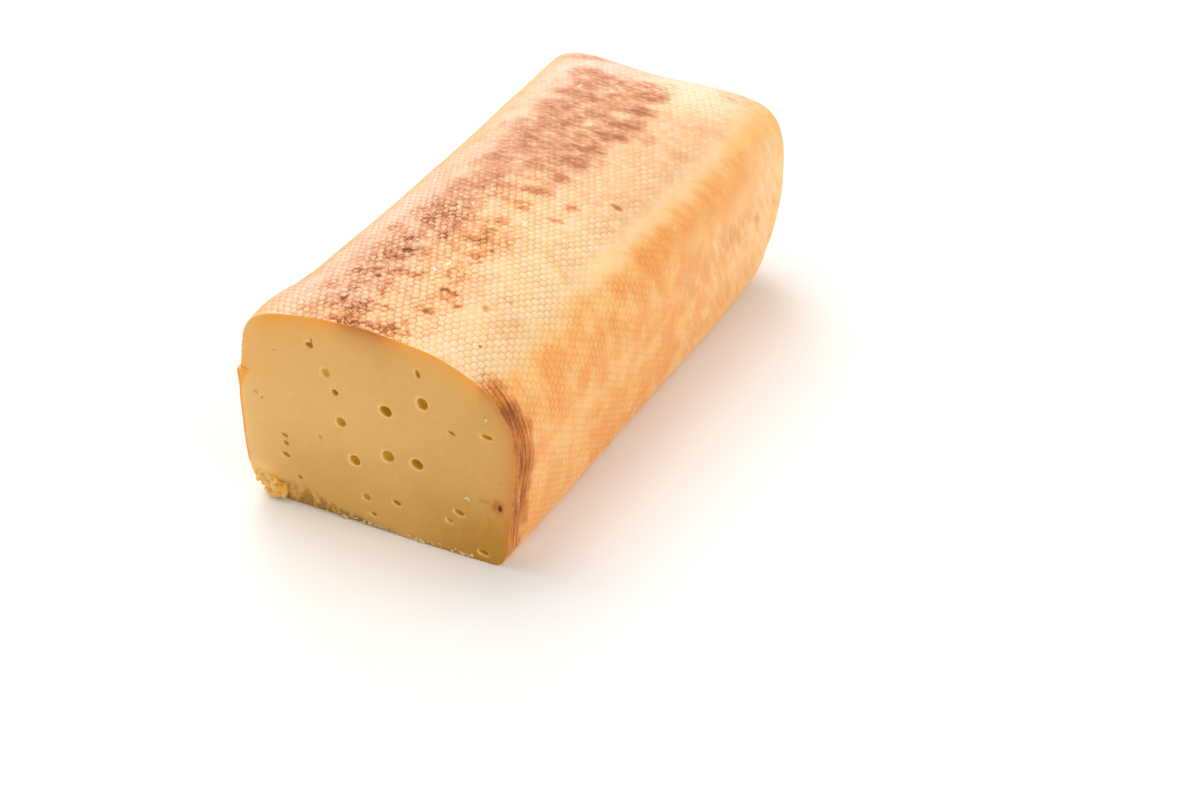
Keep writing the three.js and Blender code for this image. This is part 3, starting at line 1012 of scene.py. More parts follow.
def rind_lip(loaf, cut, materials):
    """The flake of rind left standing along the left edge of the cut, narrowing to a thread."""
    x, z, _ = section_outline(loaf, 0)
    left = (x < 0) & (z > 0.002) & (z < 0.085)
    order = np.argsort(z[left])
    height = np.linspace(cut.lip_foot, cut.lip_top, 48)
    side = np.interp(height, z[left][order], x[left][order])
    column = np.stack([0 * height, 0 * height, height], axis=-1)
    flake = np.clip((height - cut.lip_waist) / (cut.lip_top - cut.lip_waist), 0, 1)
    thread = np.clip((height - cut.lip_foot) / (cut.lip_waist - cut.lip_foot), 0, 1)
    width = cut.lip_thread * (0.3 + 0.7 * thread) * (1 - flake) + cut.lip_width * flake
    width = width * (1 + 0.25 * soft_noise(column, 0.003, 21))
    bulge = cut.lip_bulge * smooth_step((height - loaf.belly_height) / (cut.lip_top - loaf.belly_height))
    stand = cut.lip_step * (0.35 + 0.65 * flake) * (1 + 0.3 * soft_noise(column, 0.005, 22))
    corners = (
        (side + 0.0002 - bulge, 0.004 + 0 * side),
        (side + 0.0001 - bulge, -0.6 * stand),
        (side + 0.0005 - bulge, -stand),
        (side + 0.6 * width, -0.55 * stand),
        (side + 0.0002 + width, 0.0003 + 0 * side),
        (side + 0.0004 + width, 0.004 + 0 * side),
    )
    points = np.stack([np.stack([across, y, height], axis=-1) for across, y in corners], axis=1)
    faces = tube_faces(len(height), len(corners))
    lip = mesh_piece("lip", points.reshape(-1, 3), faces, materials["edge"])
    face_outward(lip)
    return lip


def soft_lump(place, size, lean, detail, seed, material):
    """An uneven lump of soft paste, turned in the cut's plane."""
    bpy.ops.mesh.primitive_ico_sphere_add(subdivisions=detail, radius=0.5)
    lump = bpy.context.object
    lump.data.materials.append(material)
    points = read_points(lump.data)
    rough = 0.2 * soft_noise(points, 0.36, seed) + 0.2 * (0.4 - np.abs(soft_noise(points, 0.2, seed + 1)))
    points = points * (1 + rough)[:, None] * np.array(size) * MM
    turn = np.array(Matrix.Rotation(math.radians(lean), 3, "Y"))
    write_points(lump.data, points @ turn.T + np.array(place) * MM)
    return lump


def pushed_lump(material):
    """Paste pushed out in flakes at the lower left corner of the cut and melted into one lump."""
    parts = []
    for index, (place, size, lean) in enumerate(LUMP_FLAKES):
        parts.append(soft_lump(place, size, lean, 4, 31 + 2 * index, material))
    select_only(*parts)
    bpy.ops.object.join()
    lump = bpy.context.object
    remesh = lump.modifiers.new("melt", "REMESH")
    remesh.mode = "VOXEL"
    remesh.voxel_size = 0.0003
    bpy.ops.object.modifier_apply(modifier=remesh.name)
    soften = lump.modifiers.new("soften", "SMOOTH")
    soften.factor = 0.5
    soften.iterations = 3
    bpy.ops.object.modifier_apply(modifier=soften.name)
    points = read_points(lump.data)
    crumpled = 0.35 - np.abs(soft_noise(points, 0.0026, 47)) + 0.4 * soft_noise(points, 0.0011, 48)
    write_points(lump.data, points + read_normals(lump.data) * (0.0004 * crumpled)[:, None])
    lump.data.materials.clear()
    lump.data.materials.append(material)
    return lump


def tear_depth_at(cut, across, height):
    """How far back the cut lies at a place near its foot."""
    fade = min(max((cut.tear_to - across) / (cut.tear_to - cut.tear_from), 0), 1)
    if height > cut.tear_height * fade:
        return 0.0
    return 0.6 * cut.tear_depth * math.sqrt(fade)


def crumb_pile(cut, material):
    """Crumbs clinging along the foot of the cut, and the white grains on its face."""
    chance = random.Random(5)
    crumbs = []
    places = list(WHITE_GRAINS)
    for _ in range(cut.crumbs):
        across = chance.triangular(-0.030, 0.050, 0.006)
        size = 0.00022 + 0.0006 * chance.random() ** 2
        places.append((across, chance.uniform(0.0003, 0.0024), size))
    for index, (across, height, size) in enumerate(places):
        bpy.ops.mesh.primitive_ico_sphere_add(subdivisions=2, radius=size)
        crumb = bpy.context.object
        points = read_points(crumb.data)
        points *= 1 + 0.4 * soft_noise(points / size, 0.7, 40 + index)[:, None]
        points *= np.array([chance.uniform(0.9, 1.7), 0.8, chance.uniform(0.7, 1.1)])
        depth = tear_depth_at(cut, across, height) + chance.uniform(-0.3, 0.2) * size
        points += np.array([across, depth, max(height, 0.00002 - points[:, 2].min())])
        write_points(crumb.data, points)
        crumbs.append(crumb)
    select_only(*crumbs)
    bpy.ops.object.join()
    pile = bpy.context.object
    pile.name = "crumbs"
    pile.data.name = "crumbs"
    pile.data.materials.append(material)
    return pile


# Numbers that the materials read


def stain_amount(around, along, points):
    """Smoke stain at each point, from none to one, out of the single stains and a mottled haze."""
    clean = np.ones(len(points))
    warp = 1 + 1.6 * smooth_step((np.abs(around) - 46) / 12)
    aside = around + 2.0 * warp * soft_noise(points, 0.006, 51)
    further = along + 1.5 * warp * soft_noise(points, 0.005, 52)
    for stain_around, stain_along, half_width, half_length, strength in STAINS:
        off = ((aside - stain_around) / half_width) ** 2 + ((further - stain_along) / half_length) ** 2
        clean *= 1 - min(strength, 0.98) * np.exp(-(off**1.4))
    band = smooth_step((around + 46) / 20) * smooth_step((-6 - around) / 9)
    band *= 0.40 + 0.12 * smooth_step((along - 120) / 40)
    middle = smooth_step((around + 18) / 10) * smooth_step((34 - around) / 24)
    beyond = smooth_step((along - 130) / 30) * smooth_step((20 - around) / 8)
    middle *= 0.26 - 0.10 * smooth_step((along - 90) / 20) + 0.26 * beyond
    cloud = 0.9 + 0.9 * soft_noise(points, 0.010, 53) + 0.8 * soft_noise(points, 0.0042, 54)
    haze = (band + middle) * np.clip(cloud, 0, 2) * smooth_step((262 - along) / 16)
    return 1 - clean * (1 - np.clip(haze, 0, 0.9))


def cut_place(points):
    """Millimetres across and up of each point."""
    return points[:, 0] / MM, points[:, 2] / MM


def rim_amount(loaf, points):
    """How much the cut is tinted by the rind round it, from none to one."""
    x, z = cut_place(points)
    gap = edge_distance(loaf, points) / MM
    rightness = smooth_step((x - 44) / 12)
    low_left = smooth_step((-x - 48) / 8) * smooth_step((68 - z) / 16)
    thin = np.exp(-((gap / 2.0) ** 2)) * (0.3 + 0.7 * smooth_step((z - 4) / 12))
    wide = 0.85 * np.exp(-((gap / 7) ** 1.5)) * smooth_step((z - 6) / 20)
    edge = (0.35 * thin + wide) * (1 - 0.4 * rightness) * (1 - 0.2 * low_left)
    corner = 0.5 * np.exp(-np.hypot(x + 59, z - 90) / 12)
    ledge = 16.6 - 0.22 * (x + 61)
    flap = 0.9 * np.exp(-(((x + 59) / 8) ** 2 + ((z - ledge) / 2.4) ** 2))
    return np.clip(edge + corner + flap, 0, 1)


def tone_amount(points):
    """Colour of that tint, from brown at -1 under the smoked crown to a painted glow at 1 on the left, where
    light shining through the paste's edge is painted in.
    """
    x, z = cut_place(points)
    brown = np.exp(-(((x + 3) / 14) ** 2)) * smooth_step((z - 60) / 20) + 0.8 * smooth_step((x - 46) / 6)
    # Painted light: the left edge glows as if lit through
    left = smooth_step((-x - 46) / 10) * (1 - 0.5 * smooth_step((z - 50) / 15))
    right = 0.15 * smooth_step((x - 14) / 10) * smooth_step((50 - x) / 6)
    return left + right - brown


def deep_tone_and_painted_shade(points):
    """How much deeper the paste's colour is, from none on the left to most at the lower right: its own
    deeper tone, with painted shade darkening it towards the foot.
    """
    x, z = cut_place(points)
    # Painted shade: darker towards the foot of the cut
    low = 0.34 * smooth_step((56 - z) / 48) * (1 - 0.8 * smooth_step((-x - 40) / 20))
    corner = 0.34 * smooth_step((x - 8) / 42) * smooth_step((40 - z) / 36)
    return 0.06 + 0.26 * np.clip((x + 60) / 110, 0, 1) + low + corner


def note_places(loaf, cut, piece):
    """Stores where each point lies on the loaf, for the materials."""
    mesh = piece.data
    points = read_points(mesh)
    around = way_from_crown(loaf, points)
    along = points[:, 1] / MM
    amounts = {
        "around": around,
        "along": along,
        "stain": stain_amount(around, along, points),
        "rim": rim_amount(loaf, points),
        "tone": tone_amount(points),
        "deep": deep_tone_and_painted_shade(points),
        "end": smooth_step((along - 262) / 14) * smooth_step((86 - points[:, 2] / MM) / 20),
        "sunk": along - face_wave(cut, points[:, 0], points[:, 2]) / MM,
    }
    for name, values in amounts.items():
        set_attribute(mesh, name, "POINT", values)


# Materials


class Nodes:
    """Short calls for building a node tree."""

    def __init__(self, tree):
        self.tree = tree

    def put(self, socket, value):
        """Links a socket or sets its plain value."""
        if isinstance(value, bpy.types.NodeSocket):
            self.tree.links.new(value, socket)
        else:
            socket.default_value = value

    def node(self, kind, values=None, **settings):
        """A node with its settings and inputs."""
        item = self.tree.nodes.new(kind)
        for name, value in settings.items():
            setattr(item, name, value)
        for name, value in (values or {}).items():
            self.put(item.inputs[name], value)
        return item

    def math(self, operation, first, second=0.0):
        """One step of arithmetic."""
        item = self.node("ShaderNodeMath", operation=operation)
        self.put(item.inputs[0], first)
        self.put(item.inputs[1], second)
        return item.outputs[0]

    def times(self, *values):
        """Product of values."""
        result = values[0]
        for value in values[1:]:
            result = self.math("MULTIPLY", result, value)
        return result

    def plus(self, *values):
        """Sum of values."""
        result = values[0]
        for value in values[1:]:
            result = self.math("ADD", result, value)
        return result

    def less(self, first, second):
        """Difference of two values."""
        return self.math("SUBTRACT", first, second)

    def largest(self, first, second):
        """The larger of two values."""
        return self.math("MAXIMUM", first, second)

    def swing(self, cloud, size):
        """A cloudy value moved to swing about none, to the given size."""
        return self.times(self.less(cloud, 0.5), size)

    def spot(self, aside, further, middle, half_sizes):
        """Distance from a middle, where one is the edge of a spot of the given half sizes."""
        across = self.math("DIVIDE", self.less(aside, middle[0]), half_sizes[0])
        along = self.math("DIVIDE", self.less(further, middle[1]), half_sizes[1])
        return self.math("SQRT", self.plus(self.times(across, across), self.times(along, along)))

    def ease(self, value, low, high, start=0.0, end=1.0):
        """Eased ramp from one value to another."""
        values = {"Value": value, "From Min": low, "From Max": high, "To Min": start, "To Max": end}
        return self.node("ShaderNodeMapRange", values, interpolation_type="SMOOTHSTEP").outputs["Result"]

    def window(self, value, low, high, soft):
        """One between low and high, falling to none within the soft width outside."""
        return self.times(self.ease(value, low - soft, low), self.ease(value, high, high + soft, 1.0, 0.0))

    def mix(self, factor, first, second):
        """Mixed colour."""
        item = self.node("ShaderNodeMix", data_type="RGBA", clamp_factor=True)
        self.put(item.inputs[0], factor)
        self.put(item.inputs[6], as_rgba(first))
        self.put(item.inputs[7], as_rgba(second))
        return item.outputs[2]

    def blend(self, factor, first, second):
        """Mixed number."""
        item = self.node("ShaderNodeMix", data_type="FLOAT", clamp_factor=True)
        self.put(item.inputs[0], factor)
        self.put(item.inputs[2], first)
        self.put(item.inputs[3], second)
        return item.outputs[0]

    def noise(self, vector, scale, detail=3.0, roughness=0.55, distortion=0.0):
        """Cloudy value between 0 and 1."""
        values = {"Vector": vector, "Scale": scale, "Detail": detail, "Roughness": roughness}
        values["Distortion"] = distortion
        return self.node("ShaderNodeTexNoise", values).outputs["Fac"]

    def attribute(self, name):
        """A number stored on the piece."""
        return self.node("ShaderNodeAttribute", attribute_name=name).outputs["Fac"]

    def vector(self, x, y, z=0.0):
        """Three numbers as a vector."""
        return self.node("ShaderNodeCombineXYZ", {"X": x, "Y": y, "Z": z}).outputs[0]

    def place(self):
        """Object coordinates."""
        return self.node("ShaderNodeTexCoord").outputs["Object"]

    def bump(self, height, strength, distance=0.0004):
        """Normal bent by a height."""
        values = {"Height": height, "Strength": strength, "Distance": distance}
        return self.node("ShaderNodeBump", values).outputs["Normal"]

    def grain(self, scale, strength):
        """Normal roughened by an even grain."""
        return self.bump(self.noise(self.place(), scale, 3.0), strength)


def as_rgba(value):
    """A colour property as the four numbers that a socket takes."""
    if isinstance(value, bpy.types.NodeSocket):
        return value
    return (*value[:3], 1.0)


def new_material(name, roughness, subsurface, scatter=0.0018):
    """A material with its main shader, and a builder for its nodes."""
    material = bpy.data.materials.new(name)
    material.use_nodes = True
    shader = material.node_tree.nodes["Principled BSDF"]
    shader.inputs["Roughness"].default_value = roughness
    shader.inputs["Subsurface Weight"].default_value = subsurface
    shader.inputs["Subsurface Radius"].default_value = (1.0, 0.6, 0.25)
    shader.inputs["Subsurface Scale"].default_value = scatter
    shader.inputs["IOR"].default_value = 1.42
    return material, Nodes(material.node_tree), shader


def mottle_group():
    """Shared effect: cloudy unevenness at two sizes, as a value about one half."""
    group = bpy.data.node_groups.new("cheese mottle", "ShaderNodeTree")
    group.interface.new_socket("Coarse", in_out="INPUT", socket_type="NodeSocketFloat")
    group.interface.new_socket("Fine", in_out="INPUT", socket_type="NodeSocketFloat")
    group.interface.new_socket("Value", in_out="OUTPUT", socket_type="NodeSocketFloat")
    nodes = Nodes(group)
    source = nodes.node("NodeGroupInput")
    target = nodes.node("NodeGroupOutput")
    place = nodes.place()
    coarse = nodes.noise(place, source.outputs["Coarse"], 4.0)
    fine = nodes.noise(place, source.outputs["Fine"], 3.0)
    value = nodes.plus(nodes.times(coarse, 0.62), nodes.times(fine, 0.38))
    nodes.put(target.inputs["Value"], value)
    return group


def mottle(nodes, group, coarse, fine):
    """Places the shared mottle in a material."""
    item = nodes.node("ShaderNodeGroup", node_tree=group)
    item.inputs["Coarse"].default_value = coarse
    item.inputs["Fine"].default_value = fine
    return item.outputs["Value"]


class Rind:
    """Where a place lies on the rind in millimetres, and the patterns that its colours share."""

    def __init__(self, nodes, group):
        self.around = nodes.attribute("around")
        self.along = nodes.attribute("along")
        self.stain = nodes.attribute("stain")
        self.cell = nodes.attribute("cell")
        self.end = nodes.attribute("end")
        self.place = nodes.place()
        self.off_crown = nodes.math("ABSOLUTE", self.around)
        self.flank = nodes.ease(self.off_crown, 46.0, 58.0)
        self.cloud = mottle(nodes, group, 45.0, 190.0)
        drag = nodes.vector(nodes.times(self.around, 0.05), nodes.times(self.along, 0.7))
        self.streak = nodes.noise(drag, 1.0, 4.0, 0.62, 0.2)
        self.side = self.side_share(nodes)
        self.net = self.net_share(nodes)

    def side_share(self, nodes):
        """How much a place belongs to the smoked sides, from none on the crown to one."""
        lower = nodes.ease(self.along, 212.0, 240.0, 6.0, -2.0)
        leaning = nodes.largest(nodes.less(self.around, lower), nodes.times(self.around, -1.0))
        side = nodes.ease(nodes.plus(leaning, nodes.swing(self.cloud, 18.0)), 45.0, 58.0)
        side = nodes.times(side, nodes.ease(self.streak, 0.3, 0.64, 0.55, 1.0))
        return nodes.largest(side, self.end)

    def net_share(self, nodes):
        """How clearly the net's grooves show in colour, from none to one."""
        worn = nodes.ease(nodes.noise(self.place, 95.0, 2.0), 0.34, 0.62, 0.35, 1.0)
        bare = nodes.window(self.around, 49.0, 57.0, 5.0)
        bare = nodes.times(bare, nodes.ease(self.along, 50.0, 110.0, 0.0, 0.85))
        on_crown = nodes.ease(self.along, 90.0, 215.0, 1.0, 0.65)
        on_side = nodes.ease(self.along, 100.0, 205.0, 0.9, 0.1)
        net = nodes.blend(self.flank, on_crown, on_side)
        return nodes.times(net, nodes.attribute("groove"), worn, nodes.less(1.0, bare))

    def specks(self, nodes, specks, ragged):
        """Darkness of single specks, from none to one."""
        level = 0.0
        for around, along, half_width, half_length, strength in specks:
            away = nodes.spot(self.around, self.along, (around, along), (half_width, half_length))
            away = nodes.plus(away, ragged)
            level = nodes.largest(level, nodes.ease(away, 0.4, 1.3, strength, 0.0))
        return level


def streaked_side_colour(nodes, colours, colour, rind):
    """The far side's colour: a deep band under the shoulder, slanted streaks below and a pale end."""
    along = rind.along
    across = nodes.times(nodes.less(along, nodes.times(rind.off_crown, 0.7)), 0.2)
    down = nodes.times(nodes.plus(rind.off_crown, along), 0.035)
    wrung = nodes.noise(nodes.vector(across, down), 1.0, 4.0, 0.6, 0.5)
    edge = nodes.plus(rind.off_crown, nodes.swing(wrung, 22.0))
    deep = nodes.times(nodes.window(edge, 62.0, 69.0, 8.0), nodes.window(along, 126.0, 222.0, 12.0))
    colour = nodes.mix(nodes.times(deep, nodes.ease(wrung, 0.4, 0.6, 0.2, 0.55)), colour, colours.rind_deep)
    pale = nodes.times(nodes.window(edge, 68.0, 94.0, 9.0), nodes.ease(along, 222.0, 242.0))
    pale = nodes.times(pale, nodes.ease(wrung, 0.38, 0.56, 0.3, 0.8))
    colour = nodes.mix(pale, colour, colours.rind_shoulder)
    low = nodes.times(nodes.ease(edge, 80.0, 94.0), nodes.ease(along, 145.0, 175.0))
    rosy = nodes.times(nodes.window(edge, 85.0, 94.0, 8.0), nodes.window(along, 155.0, 222.0, 14.0))
    rosy = nodes.times(rosy, nodes.ease(wrung, 0.42, 0.58, 0.25, 0.05))
    colour = nodes.mix(rosy, colour, colours.smoke_rosy)
    stroke = nodes.times(low, nodes.ease(wrung, 0.48, 0.66, 0.0, 0.8))
    colour = nodes.mix(stroke, colour, colours.rind_shoulder)
    return nodes.mix(nodes.times(low, nodes.ease(wrung, 0.34, 0.48, 0.5, 0.0)), colour, colours.rind_deep)


def crown_colour(nodes, colours, rind):
    """The crown's colour under the smoke: rosy on the left, warmer further on, pale on the shoulder."""
    around = rind.around
    along = rind.along
    rosy = nodes.times(nodes.ease(around, -34.0, 6.0, 0.9, 0.0), nodes.ease(along, 2.0, 16.0, 0.4, 1.0))
    colour = nodes.mix(rosy, colours.rind, colours.rind_rosy)
    middle = nodes.times(nodes.window(along, 150.0, 212.0, 45.0), nodes.ease(around, -10.0, 20.0, 0.3, 0.85))
    colour = nodes.mix(middle, colour, colours.rind_warm)
    shoulder = nodes.times(nodes.window(around, 52.0, 62.0, 6.0), nodes.window(along, 90.0, 215.0, 40.0))
    return nodes.mix(nodes.times(shoulder, 0.6), colour, colours.rind_shoulder)


def clean_rind_colour(nodes, colours, rind):
    """The rind's colour under the smoke: cream on the crown, orange on the sides, pale at the far end, with
    a faint painted highlight along the crown's right edge.
    """
    around = rind.around
    along = rind.along
    before_end = nodes.less(1.0, rind.end)
    crown = nodes.times(nodes.ease(rind.off_crown, 44.0, 57.0, 1.0, 0.15), before_end)
    colour = nodes.mix(rind.side, crown_colour(nodes, colours, rind), colours.rind_side)
    colour = streaked_side_colour(nodes, colours, colour, rind)
    warm = nodes.times(nodes.ease(rind.cloud, 0.45, 0.66, 0.0, 0.4), crown)
    colour = nodes.mix(warm, colour, colours.smoke)
    far = nodes.times(nodes.ease(along, 222.0, 256.0), nodes.ease(rind.off_crown, 34.0, 52.0, 1.0, 0.1))
    far = nodes.times(far, nodes.ease(rind.cloud, 0.42, 0.6, 1.0, 0.5), before_end)
    # Painted highlight: a faint pale line along the crown's right edge
    painted_highlight_line = nodes.times(nodes.window(around, 45.0, 49.0, 4.0), nodes.ease(along, 35.0, 70.0, 0.0, 0.04))
    painted_highlight_line = nodes.times(painted_highlight_line, nodes.ease(along, 240.0, 260.0, 1.0, 0.0))
    pale = nodes.mix(nodes.ease(around, -20.0, 20.0), colours.rind_blush, colours.rind_pale)
    colour = nodes.mix(nodes.largest(far, painted_highlight_line), colour, pale)
    raised = nodes.times(nodes.ease(rind.cell, 0.0, 1.0, 0.0, 0.34), crown)
    colour = nodes.mix(raised, colour, colours.rind_pale)
    patch = nodes.ease(nodes.noise(rind.place, 75.0, 4.0, 0.6), 0.36, 0.62)
    smoky = nodes.times(patch, nodes.ease(along, 150.0, 230.0, 0.85, 0.3), rind.side)
    return nodes.mix(smoky, colour, colours.rind_deep)


def smoke_level(nodes, rind):
    """Darkness of the smoke: blots near the cut, brushed bars further on, smears on the sides."""
    blots = nodes.noise(rind.place, 430.0, 5.0, 0.66)
    grit = nodes.noise(rind.place, 1600.0, 3.0, 0.6)
    level = nodes.plus(nodes.ease(blots, 0.34, 0.66, 0.1, 1.35), nodes.swing(grit, 1.1))
    level = nodes.plus(level, nodes.times(rind.net, 0.8), nodes.swing(rind.cell, 0.5))
    row = nodes.plus(rind.along, nodes.times(rind.around, 0.135))
    brush = nodes.vector(nodes.times(rind.around, 0.16), nodes.times(row, 0.4))
    strokes = nodes.noise(brush, 1.0, 5.0, 0.66, 0.4)
    brushed = nodes.plus(nodes.ease(strokes, 0.33, 0.67, 0.25, 1.3), nodes.times(rind.net, 0.4))
    level = nodes.blend(nodes.ease(rind.along, 95.0, 160.0, 0.0, 0.85), level, brushed)
    smear = nodes.plus(nodes.ease(rind.streak, 0.3, 0.66, 0.3, 1.15), nodes.swing(grit, 0.5))
    level = nodes.times(nodes.blend(rind.flank, level, smear), rind.stain)
    dots = rind.specks(nodes, SPECKS, nodes.swing(blots, 2.6))
    return nodes.plus(level, dots, rind.specks(nodes, BARS, nodes.swing(strokes, -2.6)))


def smoked_colour(nodes, colours, colour, rind, level):
    """The rind's colour with its smoke, from light stains to black specks."""
    along = rind.along
    front = nodes.ease(along, 6.0, 24.0, 1.0, 0.0)
    orange = nodes.largest(nodes.ease(rind.around, -18.0, -4.0, 0.3, 1.0), front)
    orange = nodes.times(orange, nodes.ease(along, 110.0, 160.0, 1.0, 0.2))
    light = nodes.mix(orange, colours.smoke_rosy, colours.smoke)
    light = nodes.mix(nodes.ease(rind.off_crown, 46.0, 60.0), light, colours.smoke_side)
    colour = nodes.mix(nodes.ease(level, 0.03, 0.42, 0.0, 0.9), colour, light)
    # On the sides the heavy colour is partly painted shade next to the cut
    heavy = nodes.times(nodes.ease(level, 0.36, 0.9, 0.0, 0.85), nodes.ease(along, 90.0, 160.0, 1.0, 0.7))
    colour = nodes.mix(heavy, colour, nodes.mix(rind.flank, colours.smoke_dark, colours.smoke_deep_and_shade))
    crisp = nodes.ease(along, 60.0, 160.0, 1.0, 0.4)
    black = nodes.times(nodes.ease(level, 0.85, 1.35, 0.0, 0.9), crisp)
    return nodes.mix(black, colour, colours.smoke_black)


def rind_material(colours, group):
    """Smoked rind: cream on the crown, orange on the sides, stained brown in bars and spots."""
    material, nodes, shader = new_material("smoked rind", 0.48, 0.15)
    rind = Rind(nodes, group)
    colour = clean_rind_colour(nodes, colours, rind)
    smoked = nodes.ease(rind.stain, 0.0, 0.35, 0.64, 0.95)
    colour = nodes.mix(nodes.times(rind.net, smoked), colour, colours.groove)
    colour = smoked_colour(nodes, colours, colour, rind, smoke_level(nodes, rind))
    colour = nodes.mix(rind.specks(nodes, FLECKS, 0.0), colour, colours.fleck)
    nodes.put(shader.inputs["Base Color"], colour)
    dullness = nodes.ease(nodes.plus(rind.cloud, rind.stain), 0.3, 1.3, 0.42, 0.62)
    nodes.put(shader.inputs["Roughness"], dullness)
    nodes.put(shader.inputs["Normal"], nodes.bump(nodes.noise(rind.place, 1500.0, 4.0, 0.6), 0.2))
    return material


def paste_colour(nodes, group, colours):
    """The sliced paste's colour, deeper towards the lower right with painted shade towards the foot, and
    orange under the rind with a painted glow on the left.
    """
    cloud = mottle(nodes, group, 38.0, 260.0)
    fine = mottle(nodes, group, 420.0, 1300.0)
    # The paste's own deeper tone, with painted shade towards the foot
    shade = nodes.plus(nodes.attribute("deep"), nodes.swing(cloud, 0.5))
    colour = nodes.mix(shade, colours.paste, colours.paste_deep_and_shade)
    colour = nodes.mix(nodes.ease(fine, 0.52, 0.72, 0.0, 0.2), colour, colours.paste_light_and_highlight)
    tone = nodes.attribute("tone")
    edge = nodes.mix(nodes.ease(tone, -1.0, 0.0), colours.paste_brown, colours.paste_edge)
    # Painted glow on the left edge
    edge = nodes.mix(nodes.ease(tone, 0.0, 1.0), edge, colours.paste_painted_glow)
    return nodes.mix(nodes.attribute("rim"), colour, edge)


def cut_material(colours, group, origin):
    """The cut paste, with one scorched spot and a painted contact shadow along its foot."""
    material, nodes, shader = new_material("cut paste", 0.4, 0.45)
    colour = paste_colour(nodes, group, colours)
    cloud = mottle(nodes, group, 300.0, 900.0)
    axes = nodes.node("ShaderNodeSeparateXYZ", {"Vector": nodes.place()}).outputs
    for spots, tint in ((SCORCH, colours.scorch), (BURN, colours.burn)):
        for across, height, wide, tall, strength in spots:
            place = (origin.x + across * MM, origin.z + height * MM)
            away = nodes.spot(axes["X"], axes["Z"], place, (wide * MM, tall * MM))
            away = nodes.plus(away, nodes.swing(cloud, 1.2))
            colour = nodes.mix(nodes.ease(away, 0.3, 1.25, strength, 0.0), colour, tint)
    # Painted shadow: the paste darkens within a few millimetres of the floor
    foot = nodes.plus(axes["Z"], nodes.swing(cloud, 0.004))
    colour = nodes.mix(nodes.ease(foot, 0.0002, 0.0022, 0.8, 0.0), colour, colours.torn)
    nodes.put(shader.inputs["Base Color"], colour)
    scale = {"Vector": nodes.place(), "Scale": (900.0, 900.0, 160.0)}
    smear = nodes.noise(nodes.node("ShaderNodeMapping", scale).outputs[0], 1.0, 4.0, 0.55)
    nodes.put(shader.inputs["Normal"], nodes.bump(smear, 0.09, 0.0003))
    return material


def rim_material(colours, group):
    """Soft rim of an eye, paler the further in: a painted highlight on the rim."""
    material, nodes, shader = new_material("eye rim", 0.36, 0.45)
    # Painted highlight: the rim is paled towards the eye
    pale = nodes.ease(nodes.attribute("sunk"), 0.0, 0.26, 0.1, 0.75)
    colour = nodes.mix(pale, paste_colour(nodes, group, colours), colours.paste_light_and_highlight)
    nodes.put(shader.inputs["Base Color"], colour)
    return material


def eye_material(colours, group):
    """Inside the eyes, deeper in colour the further in: painted shade in the hollow."""
    material, nodes, shader = new_material("eye", 0.3, 0.4)
    # Painted shade: darker and more golden deeper in the eye
    depth = nodes.plus(nodes.attribute("sunk"), nodes.times(mottle(nodes, group, 200.0, 700.0), 0.6))
    colour = nodes.mix(nodes.ease(depth, 0.3, 2.1), colours.paste_light_and_highlight, colours.eye)
    nodes.put(shader.inputs["Base Color"], colour)
    nodes.put(shader.inputs["Normal"], nodes.grain(900.0, 0.08))
    return material


def torn_material(colours, group):
    """The torn foot: pale fibres over darker hollows, partly the paste's own duller colour, partly painted
    shade in the hollows and where it lies back.
    """
    material, nodes, shader = new_material("torn paste", 0.42, 0.6, 0.004)
    cloud = mottle(nodes, group, 260.0, 900.0)
    # Painted shade: hollows between the fibres darker, ridges paler
    lift = nodes.plus(nodes.attribute("ridge"), nodes.swing(cloud, 0.9))
    colour = nodes.mix(nodes.ease(lift, 0.25, 0.95), colours.torn, colours.fibre)
    # Painted shade: darker the further the tear lies back from the cut
    depth = nodes.plus(nodes.attribute("sunk"), nodes.swing(cloud, 0.8))
    colour = nodes.mix(nodes.ease(depth, 0.1, 1.3), paste_colour(nodes, group, colours), colour)
    nodes.put(shader.inputs["Base Color"], colour)
    nodes.put(shader.inputs["Normal"], nodes.grain(1400.0, 0.3))
    return material


def plain_paste_material(name, base, tint, share, group, roughness, coarseness):
    """Paste without a knife's finish, tinted in patches."""
    material, nodes, shader = new_material(name, roughness, 0.3)
    cloud = mottle(nodes, group, 220.0, 800.0)
    nodes.put(shader.inputs["Base Color"], nodes.mix(nodes.ease(cloud, 0.42, 0.6, 0.0, share), base, tint))
    nodes.put(shader.inputs["Normal"], nodes.grain(1400.0, coarseness))
    return material


def lump_material(colours, group):
    """Soft glossy paste in pale and golden flakes, with painted shade for small pits."""
    material, nodes, shader = new_material("soft paste", 0.26, 0.5, 0.003)
    cloud = mottle(nodes, group, 240.0, 640.0)
    colour = nodes.mix(nodes.ease(cloud, 0.45, 0.58, 0.0, 0.9), colours.lump, colours.paste_light_and_highlight)
    # Painted shade: small pits painted darker, with no hollow in the shape
    painted_pit_shade = nodes.noise(nodes.place(), 330.0, 2.0)
    colour = nodes.mix(nodes.ease(painted_pit_shade, 0.36, 0.46, 0.75, 0.0), colour, colours.eye)
    nodes.put(shader.inputs["Base Color"], colour)
    nodes.put(shader.inputs["Normal"], nodes.grain(1400.0, 0.2))
    return material


